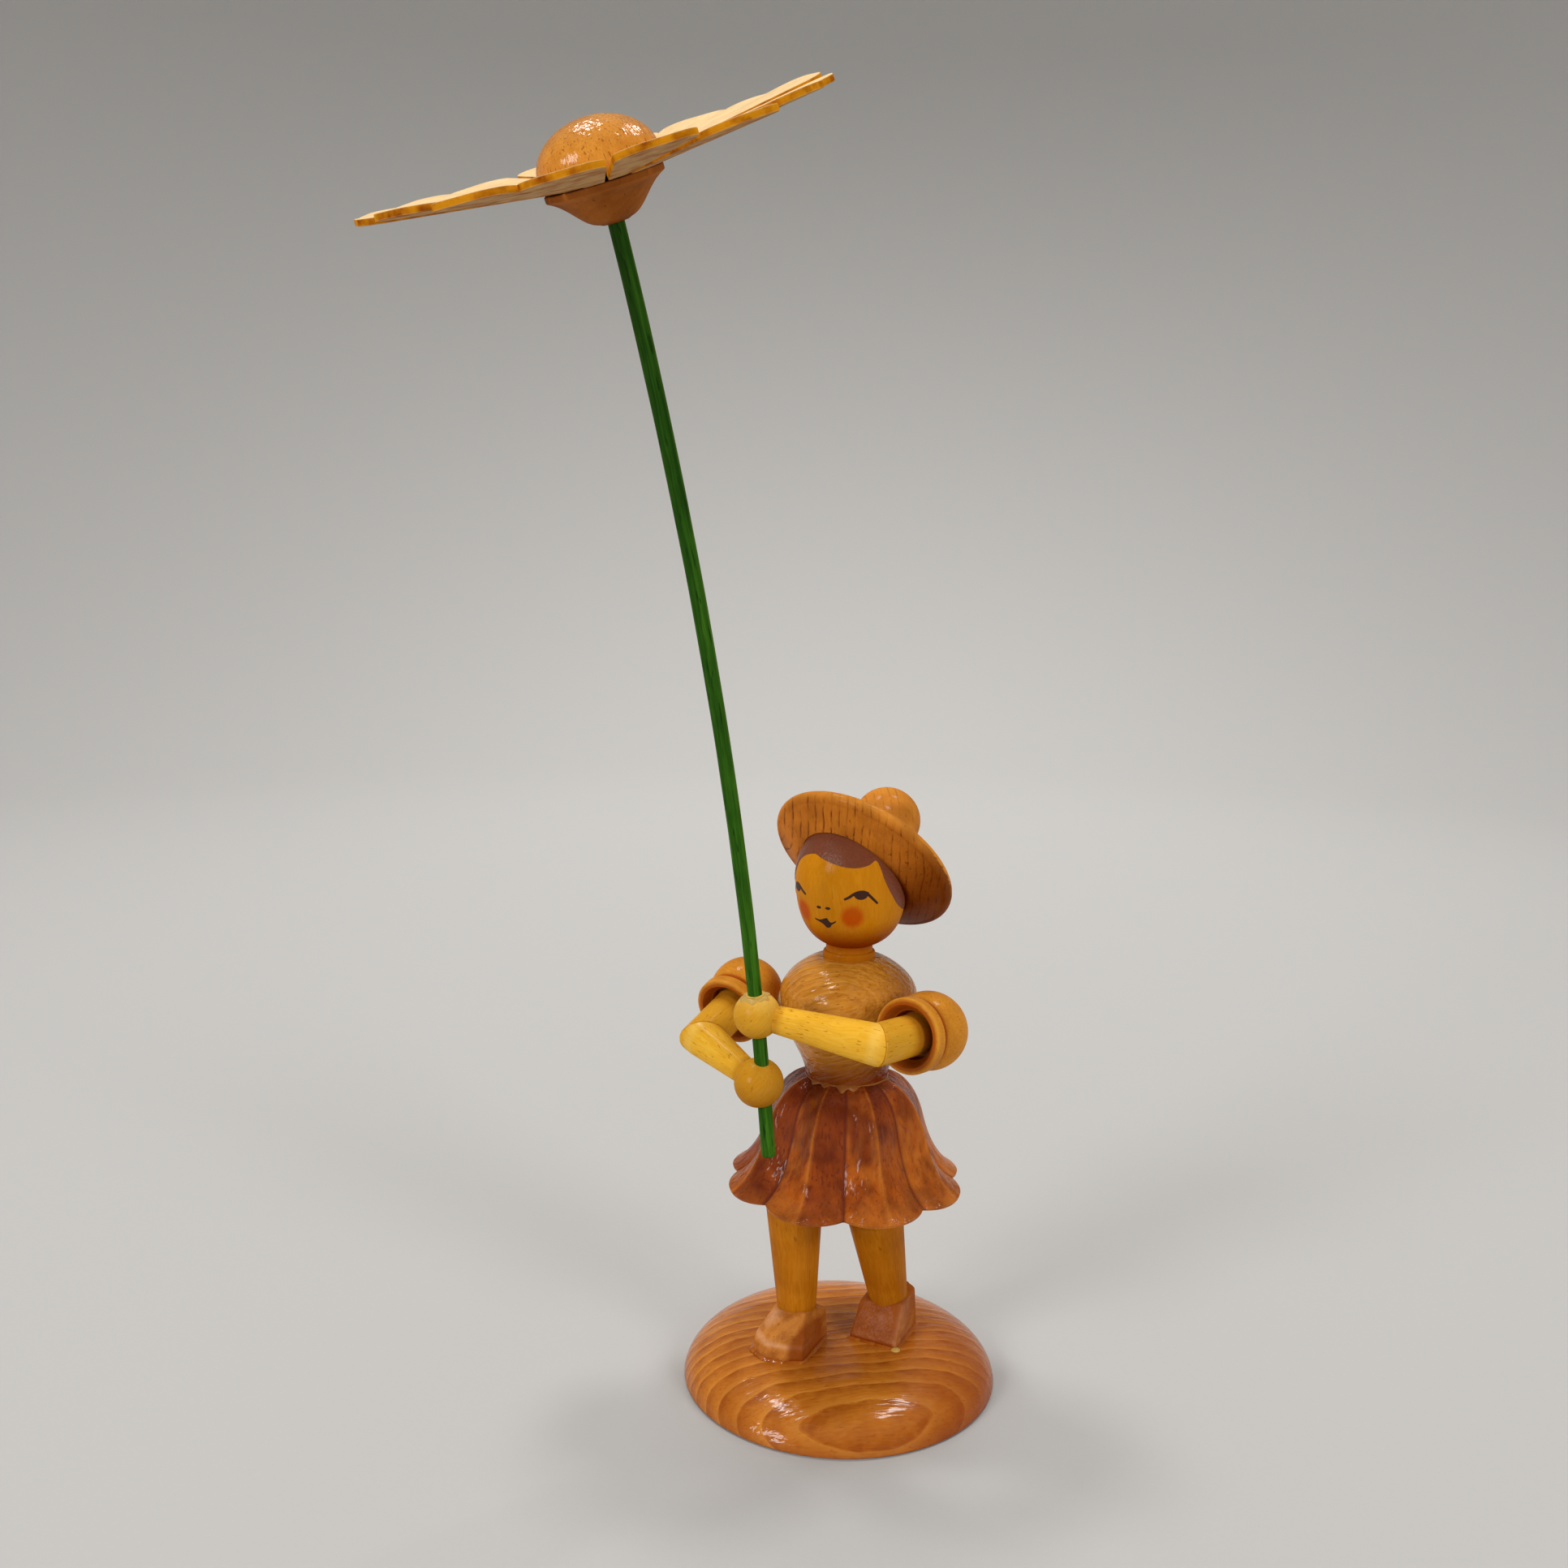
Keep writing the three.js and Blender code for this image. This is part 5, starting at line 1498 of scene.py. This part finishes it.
class FLOWERCHILD_OT_flower(bpy.types.Operator):
    """Turns the calyx and the button"""
    bl_idname = "flower_child.flower"
    bl_label = "Calyx and button"

    def execute(self, context):
        size = context.scene.flower_child_flower
        place = flower_place()
        # Red-brown stain soaked into end grain: dull, with fine rings round the bowl
        wood = stained_wood(
            "Red-brown stained birch, matt", "calyx", "#AA6428", "#5A2A0A", shade="#481C06",
            tint_and_highlight="#B46A2A", ring=0.9, ring_depth=0.12, fibre=(0.14, 1.6), fleck_level=0.72, blotch=4,
            blotch_depth=0.45, rough=0.48, coat=0.1, coat_rough=0.25)
        rim = CALYX_HEIGHT - CALYX_LEDGE
        profile = Profile(0, -0.15).line(CALYX_NECK_RADIUS - 0.4, -0.12, 3).line(CALYX_NECK_RADIUS, 0.05)
        profile.curve(CALYX_RADIUS - 0.1, rim, (1.7, 0.35), (-2.1, -0.9), 30)
        profile.line(CALYX_RADIUS, rim + 0.12).line(CALYX_RADIUS, CALYX_HEIGHT + SEATED - 0.1, 2)
        profile.line(CALYX_RADIUS - 0.12, CALYX_HEIGHT + SEATED).line(0, HUB + SEATED, 10)
        piece = turned("calyx", profile, place)
        dress(piece, place, "calyx", wood, grain_along((0, 0, 1), (2, 1, 0)),
              shade=lambda p: 0.5 * smooth_step(0.6 - p.z, 0, 0.8),
              tint_and_highlight=lambda p: 0.5 * smooth_step(p.z, rim - 0.5, rim + 0.2))

        # Golden dome under gloss varnish: fine checks run up from its foot
        gold = stained_wood(
            "Golden-stained birch, gloss varnish", "button", "#E0A244", "#9C560A", shade="#763A06",
            ring=1.5, ring_depth=0.1, fibre=(0.13, 3), fleck=(0.14, 3.2), fleck_level=0.65,
            fleck_depth=0.55, blotch=5, blotch_depth=0.4, rough=0.36, coat=0.9, coat_rough=0.13,
            relief=0.05, ripple=0.06)
        radius = mm(size.button_radius)
        foot = HUB + (mm(size.petal_thickness) + FIT_GAP) / math.cos(PETAL_RAISE)
        seat = radius - BUTTON_BELLY
        widest = foot + FIT_GAP + radius * DISH + BUTTON_BELLY
        profile = Profile(0, foot).line(seat, foot + seat * DISH, 8)
        profile.curve(radius, widest, (0.2, 0.1), (0, -0.3), 8)
        profile.arc((0, widest), (radius, BUTTON_RISE), 0, math.pi / 2, 48)
        piece = turned("flower_button", profile, place, FINE_AROUND)
        dress(piece, place, "flower_button", gold, grain_along((0, 0, 1), (9, 6, 0)),
              shade=lambda p: 0.35 * smooth_step(widest + 0.9 - p.z, 0, 1.2))
        return {"FINISHED"}


class FLOWERCHILD_OT_petals(bpy.types.Operator):
    """Cuts one petal and lays it round the flower"""
    bl_idname = "flower_child.petals"
    bl_label = "Petals"

    def execute(self, context):
        size = context.scene.flower_child_flower
        # Sliced veneer: cream face, edges scorched gold where they were cut; the back is greyer with
        # painted shade
        veneer = stained_wood(
            "Pale birch veneer", "petal", "#F6E2B8", "#8A4006", shade="#CC8412", tint_and_highlight="#AE8A60", ring=3.2,
            ring_depth=0.08, fibre=(0.18, 9), fleck=(0.2, 2), fleck_level=0.72, fleck_depth=0.3,
            blotch=2.2, blotch_depth=0.06, mottle=1.0, rough=0.5, coat=0.06, coat_rough=0.3)
        piece = self.cut_petal(size)
        self.lay_ring(piece, size, veneer)
        place = flower_place()
        piece.data.transform(Matrix.Translation(place.translation * MM) @ place.to_3x3().to_4x4())
        mesh = piece.data
        mesh.shade_smooth()
        mesh.set_sharp_from_angle(angle=SHARP)
        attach(piece, BODY)
        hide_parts(*[f"petal_{i + 1:02d}" for i in range(size.petal_count)])
        return {"FINISHED"}

    def cut_petal(self, size):
        """One flat petal along +X, its edges marked for the darker stain and its back for grey painted
        shade.
        """
        tip = mm(size.petal_tip_radius)
        half = mm(size.petal_tip_width) / 2
        corner = PETAL_CORNER
        side = [(PETAL_ROOT_RADIUS, PETAL_ROOT_WIDTH / 2)]
        for t in shares(8):
            side.append((PETAL_ROOT_RADIUS + (tip - corner - PETAL_ROOT_RADIUS) * t,
                         PETAL_ROOT_WIDTH / 2 + (half - PETAL_ROOT_WIDTH / 2) * t))
        for t in shares(10):
            aside, ahead = polar(corner, math.pi / 2 * t)
            side.append((tip - corner + ahead, half - corner + aside))
        outline = side + [(x, -y) for x, y in reversed(side)]
        sheet = bmesh.new()
        face = sheet.faces.new([sheet.verts.new((x, y, 0)) for x, y in outline])
        if face.normal.z > 0:
            face.normal_flip()
        top = bmesh.ops.extrude_face_region(sheet, geom=[face])
        lifted = [v for v in top["geom"] if isinstance(v, bmesh.types.BMVert)]
        bmesh.ops.translate(sheet, verts=lifted, vec=(0, 0, mm(size.petal_thickness)))
        bmesh.ops.recalc_face_normals(sheet, faces=sheet.faces[:])
        flat_rims = [e for e in sheet.edges if abs(e.verts[0].co.z - e.verts[1].co.z) < 1e-6]
        bmesh.ops.bevel(sheet, geom=flat_rims, offset=PETAL_BEVEL, segments=2, profile=0.6,
                        affect="EDGES")
        bmesh.ops.triangulate(sheet, faces=[f for f in sheet.faces if len(f.verts) > 4])
        sheet.normal_update()
        mesh = bpy.data.meshes.new("petals")
        sheet.to_mesh(mesh)
        sheet.free()
        edge = [clamp(1.15 - abs(f.normal.z)) for f in mesh.polygons]
        # Painted shade on the petal's back
        back = [0.85 * smooth_step(-f.normal.z, 0.3, 0.9) for f in mesh.polygons]
        store(mesh, "shade", "FLOAT", "value", edge, "FACE")
        store(mesh, "tint_and_highlight", "FLOAT", "value", back, "FACE")
        grain = [c for v in mesh.vertices for c in (v.co.y + 9, v.co.z + 30, v.co.x)]
        store(mesh, "grain", "FLOAT_VECTOR", "vector", grain)
        mesh.transform(Matrix.Scale(MM, 4))
        return linked("petals", mesh)

    def lay_ring(self, piece, size, veneer):
        """Lays the petal on every spoke of a ring, raised from the hub, none quite alike."""
        fields = {"Petals": size.petal_count, "Hub": (HUB + SEATED) * MM, "Raise": PETAL_RAISE,
                  "Turn": PETAL_PHASE, "Unevenness": math.radians(0.5), "Slot": 13.5,
                  "Layering": math.radians(0.3), "Warp": math.radians(1.0), "Finish": veneer}
        tree, given = new_tree("Ring of petals", fields)
        calc = partial(maths, tree)
        plus, minus, times, over = arithmetic(tree)
        hub = add(tree, "ShaderNodeCombineXYZ", {2: given["Hub"]}).outputs[0]
        points = add(tree, "GeometryNodePoints", {
            "Count": given["Petals"], "Position": hub, "Radius": MM}).outputs[0]
        number = add(tree, "GeometryNodeInputIndex").outputs[0]
        wobble = []
        for seed in (3, 8):
            draw = {2: -1.0, 3: 1.0, "ID": number, "Seed": seed}
            chance = add(tree, "FunctionNodeRandomValue", draw, data_type="FLOAT")
            wobble.append(times(chance.outputs[1], given["Unevenness"]))
        # Pairs of petals lie high and low in turn, counted out both ways from the slot in front
        half = over(given["Petals"], 2.0)
        past_slot = minus(number, given["Slot"])
        from_slot = calc("WRAP", past_slot, half, times(half, -1.0))
        low = calc("MODULO", minus(calc("ABSOLUTE", from_slot), 0.5), 2.0)
        layer = times(minus(0.5, low), given["Layering"])
        # The ring is bent like a saddle: up at both sides of the slot's line and down behind
        bearing = over(times(from_slot, math.pi), half)
        bow = minus(plus(calc("COSINE", bearing), 0.2), times(calc("COSINE", times(bearing, 2.0)), 1.2))
        layer = plus(layer, times(bow, given["Warp"]))
        spoke = times(number, over(2 * math.pi, given["Petals"]))
        turn = plus(plus(spoke, given["Turn"]), wobble[0])
        lift = times(plus(plus(given["Raise"], layer), wobble[1]), -1.0)
        around = add(tree, "ShaderNodeCombineXYZ", {1: lift, 2: turn}).outputs[0]
        turned_to = add(tree, "FunctionNodeEulerToRotation", {0: around}).outputs[0]
        laid = add(tree, "GeometryNodeInstanceOnPoints", {
            "Points": points, "Instance": given["Geometry"], "Rotation": turned_to}).outputs[0]
        store_as = partial(add, tree, "GeometryNodeStoreNamedAttribute")
        counted = store_as({"Geometry": laid, "Name": "petal", "Value": number},
                           data_type="FLOAT", domain="INSTANCE").outputs[0]
        whole = add(tree, "GeometryNodeRealizeInstances", {"Geometry": counted}).outputs[0]
        # Each petal is cut from another part of the sheet
        stored = partial(add, tree, "GeometryNodeInputNamedAttribute")
        petal = stored({"Name": "petal"}, data_type="FLOAT").outputs[0]
        grain = stored({"Name": "grain"}, data_type="FLOAT_VECTOR").outputs[0]
        shift = add(tree, "ShaderNodeCombineXYZ", {
            0: times(petal, 2.7), 2: times(petal, 31.0)}).outputs[0]
        moved = vector_maths(tree, "ADD", grain, shift)
        sliced = store_as({"Geometry": whole, "Name": "grain", "Value": moved},
                          data_type="FLOAT_VECTOR", domain="POINT").outputs[0]
        close_tree(tree, sliced, given["Finish"])
        grow(piece, tree, fields)


# Glue at the waist, and the hidden dowels

class FLOWERCHILD_OT_joinery(bpy.types.Operator):
    """Lays the glue at the waist and finishes the shoulder dowels"""
    bl_idname = "flower_child.joinery"
    bl_label = "Glue and dowels"

    def execute(self, context):
        camera_side = context.scene.flower_child_studio.azimuth - math.pi / 2
        place = standing(0, 0, WAIST - FIT_GAP)
        reach = TORSO_WAIST_RADIUS - 0.05
        sections = []
        for j in range(WAIST_AROUND):
            angle = 2 * math.pi * j / WAIST_AROUND
            out = Vector((*polar(1, angle), 0))
            swell = -0.3 + 0.08 * noise.noise((out + UP * 4) * 3)
            for degrees, drop in WAIST_DROPS:
                gap = math.remainder(angle - camera_side - math.radians(degrees), 2 * math.pi)
                swell += drop * math.exp(-(gap / WAIST_DROP_WIDTH) ** 2)
            sections.append([out * reach + UP * (0.18 + 0.3 * swell),
                             out * (reach + 0.35 + swell) - UP * 0.35 * swell,
                             out * (reach + 0.45 + swell * 1.1) - UP * (0.25 + 0.75 * swell),
                             out * reach - UP * (0.4 + swell * 0.3)])
        piece = hoop("waist_glue", sections, place)
        # Squeezed-out glue that took the stain: tan, waxy
        glue = paint("Stained waist glue", "#A8662C", 0.34, grit=0.6, lumps=0.03)
        dress(piece, place, None, glue, Matrix())

        # Bare dowels, seen only as a sliver between sleeve and torso
        bare = stained_wood(
            "Bare birch dowel", "dowel", "#E8CDA2", "#B98F58", coat=0.0, rough=0.6, in_object=True)
        for side in ARMS:
            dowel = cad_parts[f"shoulder_dowel_{side}"]
            dowel.data.materials.clear()
            dowel.data.materials.append(bare)
        return {"FINISHED"}


# Stage

class FLOWERCHILD_OT_stage(bpy.types.Operator):
    """Sets the floor, the lights and the camera"""
    bl_idname = "flower_child.stage"
    bl_label = "Stage"

    def execute(self, context):
        scene = context.scene
        studio = scene.flower_child_studio
        scene.view_settings.view_transform = "Standard"
        self.sweep(studio)
        self.camera(scene, studio)
        around = Matrix.Rotation(studio.azimuth, 3, "Z")
        for name, (spot, aim, width, power, mirrored) in LAMPS.items():
            self.lamp(name, around @ Vector(spot), around @ Vector(aim), width, power, mirrored)
        world = bpy.data.worlds.new("Plain daylight")
        scene.world = world
        world.use_nodes = True
        sky = world.node_tree.nodes["Background"].inputs
        sky["Color"].default_value = (1, 0.99, 0.97, 1)
        sky["Strength"].default_value = DAYLIGHT
        return {"FINISHED"}

    def lamp(self, name, spot, aim, width, power, mirrored):
        light = bpy.data.lights.new(name, "AREA")
        light.shape = "SQUARE"
        light.size = width
        light.energy = power
        lamp = linked(name, light)
        turn = (aim - spot).to_track_quat("-Z", "Y").to_matrix().to_4x4()
        lamp.matrix_world = Matrix.Translation(spot) @ turn
        lamp.visible_camera = False
        lamp.visible_glossy = mirrored

    def sweep(self, studio):
        """A floor that curves up into a backdrop all round."""
        profile = Profile(0, 0).line(FLOOR_RADIUS, 0, 6)
        profile.arc((FLOOR_RADIUS, SWEEP_BEND), (SWEEP_BEND, SWEEP_BEND), -math.pi / 2, 0, 24)
        profile.line(FLOOR_RADIUS + SWEEP_BEND, BACKDROP_TOP, 2)
        # Drawn from the top down, so that its faces look inward
        profile.points.reverse()
        piece = turned("sweep", profile, Matrix.Translation((0, 0, -0.02)))
        piece.data.shade_smooth()
        material, tree = new_material("Pale paper sweep")
        tooth = cloud(tree, object_space(tree), 1 / (0.8 * MM), 2.0)
        soft = tuple(c * 0.97 for c in studio.floor)
        color = blend(tree, tooth, opaque(soft), opaque(studio.floor))
        surface(tree, {"Base Color": color, "Roughness": 0.85})
        piece.data.materials.append(material)

    def camera(self, scene, studio):
        pitch, yaw, roll = studio.pitch, studio.yaw, studio.roll
        right = rightward(scene).to_3d()
        toward = right.cross(UP)
        ahead = -toward * math.cos(yaw) - right * math.sin(yaw)
        side = right * math.cos(yaw) - toward * math.sin(yaw)
        look = ahead * math.cos(pitch) - UP * math.sin(pitch)
        top = side.cross(look)
        picture_right = side * math.cos(roll) + top * math.sin(roll)
        picture_up = top * math.cos(roll) - side * math.sin(roll)
        spot = toward * studio.distance + UP * studio.height
        lens = bpy.data.cameras.new("camera")
        lens.lens = studio.lens
        lens.sensor_width = 36
        lens.clip_start = 0.01
        camera = linked("camera", lens)
        turned_to = Matrix((picture_right, picture_up, -look)).transposed().to_4x4()
        camera.matrix_world = Matrix.Translation(spot) @ turned_to
        scene.camera = camera


# Add-on

OPERATORS = (
    FLOWERCHILD_OT_base, FLOWERCHILD_OT_shoes, FLOWERCHILD_OT_legs, FLOWERCHILD_OT_skirt,
    FLOWERCHILD_OT_torso, FLOWERCHILD_OT_head, FLOWERCHILD_OT_hat, FLOWERCHILD_OT_sleeves,
    FLOWERCHILD_OT_arms, FLOWERCHILD_OT_stem, FLOWERCHILD_OT_flower, FLOWERCHILD_OT_petals,
    FLOWERCHILD_OT_joinery, FLOWERCHILD_OT_stage,
)
SETTINGS = {
    "flower_child_body": FLOWERCHILD_PG_body,
    "flower_child_flower": FLOWERCHILD_PG_flower,
    "flower_child_stains": FLOWERCHILD_PG_stains,
    "flower_child_studio": FLOWERCHILD_PG_studio,
}


class FLOWERCHILD_PT_panel(bpy.types.Panel):
    """Lists the pieces and their sizes and stains"""
    bl_idname = "FLOWERCHILD_PT_panel"
    bl_label = "Flower Child"
    bl_space_type = "VIEW_3D"
    bl_region_type = "UI"
    bl_category = "Flower Child"

    def draw(self, context):
        for operator in OPERATORS:
            self.layout.operator(operator.bl_idname)
        for name, group in SETTINGS.items():
            box = self.layout.box()
            box.label(text=group.__doc__)
            for field in group.__annotations__:
                box.prop(getattr(context.scene, name), field)


def register():
    for group in SETTINGS.values():
        bpy.utils.register_class(group)
    for item in (*OPERATORS, FLOWERCHILD_PT_panel):
        bpy.utils.register_class(item)
    for name, group in SETTINGS.items():
        setattr(bpy.types.Scene, name, PointerProperty(type=group))


def unregister():
    for name in SETTINGS:
        delattr(bpy.types.Scene, name)
    for item in (FLOWERCHILD_PT_panel, *reversed(OPERATORS), *SETTINGS.values()):
        bpy.utils.unregister_class(item)


def main():
    register()
    for operator in OPERATORS:
        group, name = operator.bl_idname.split(".")
        getattr(getattr(bpy.ops, group), name)()
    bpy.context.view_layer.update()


if __name__ == "__main__":
    main()
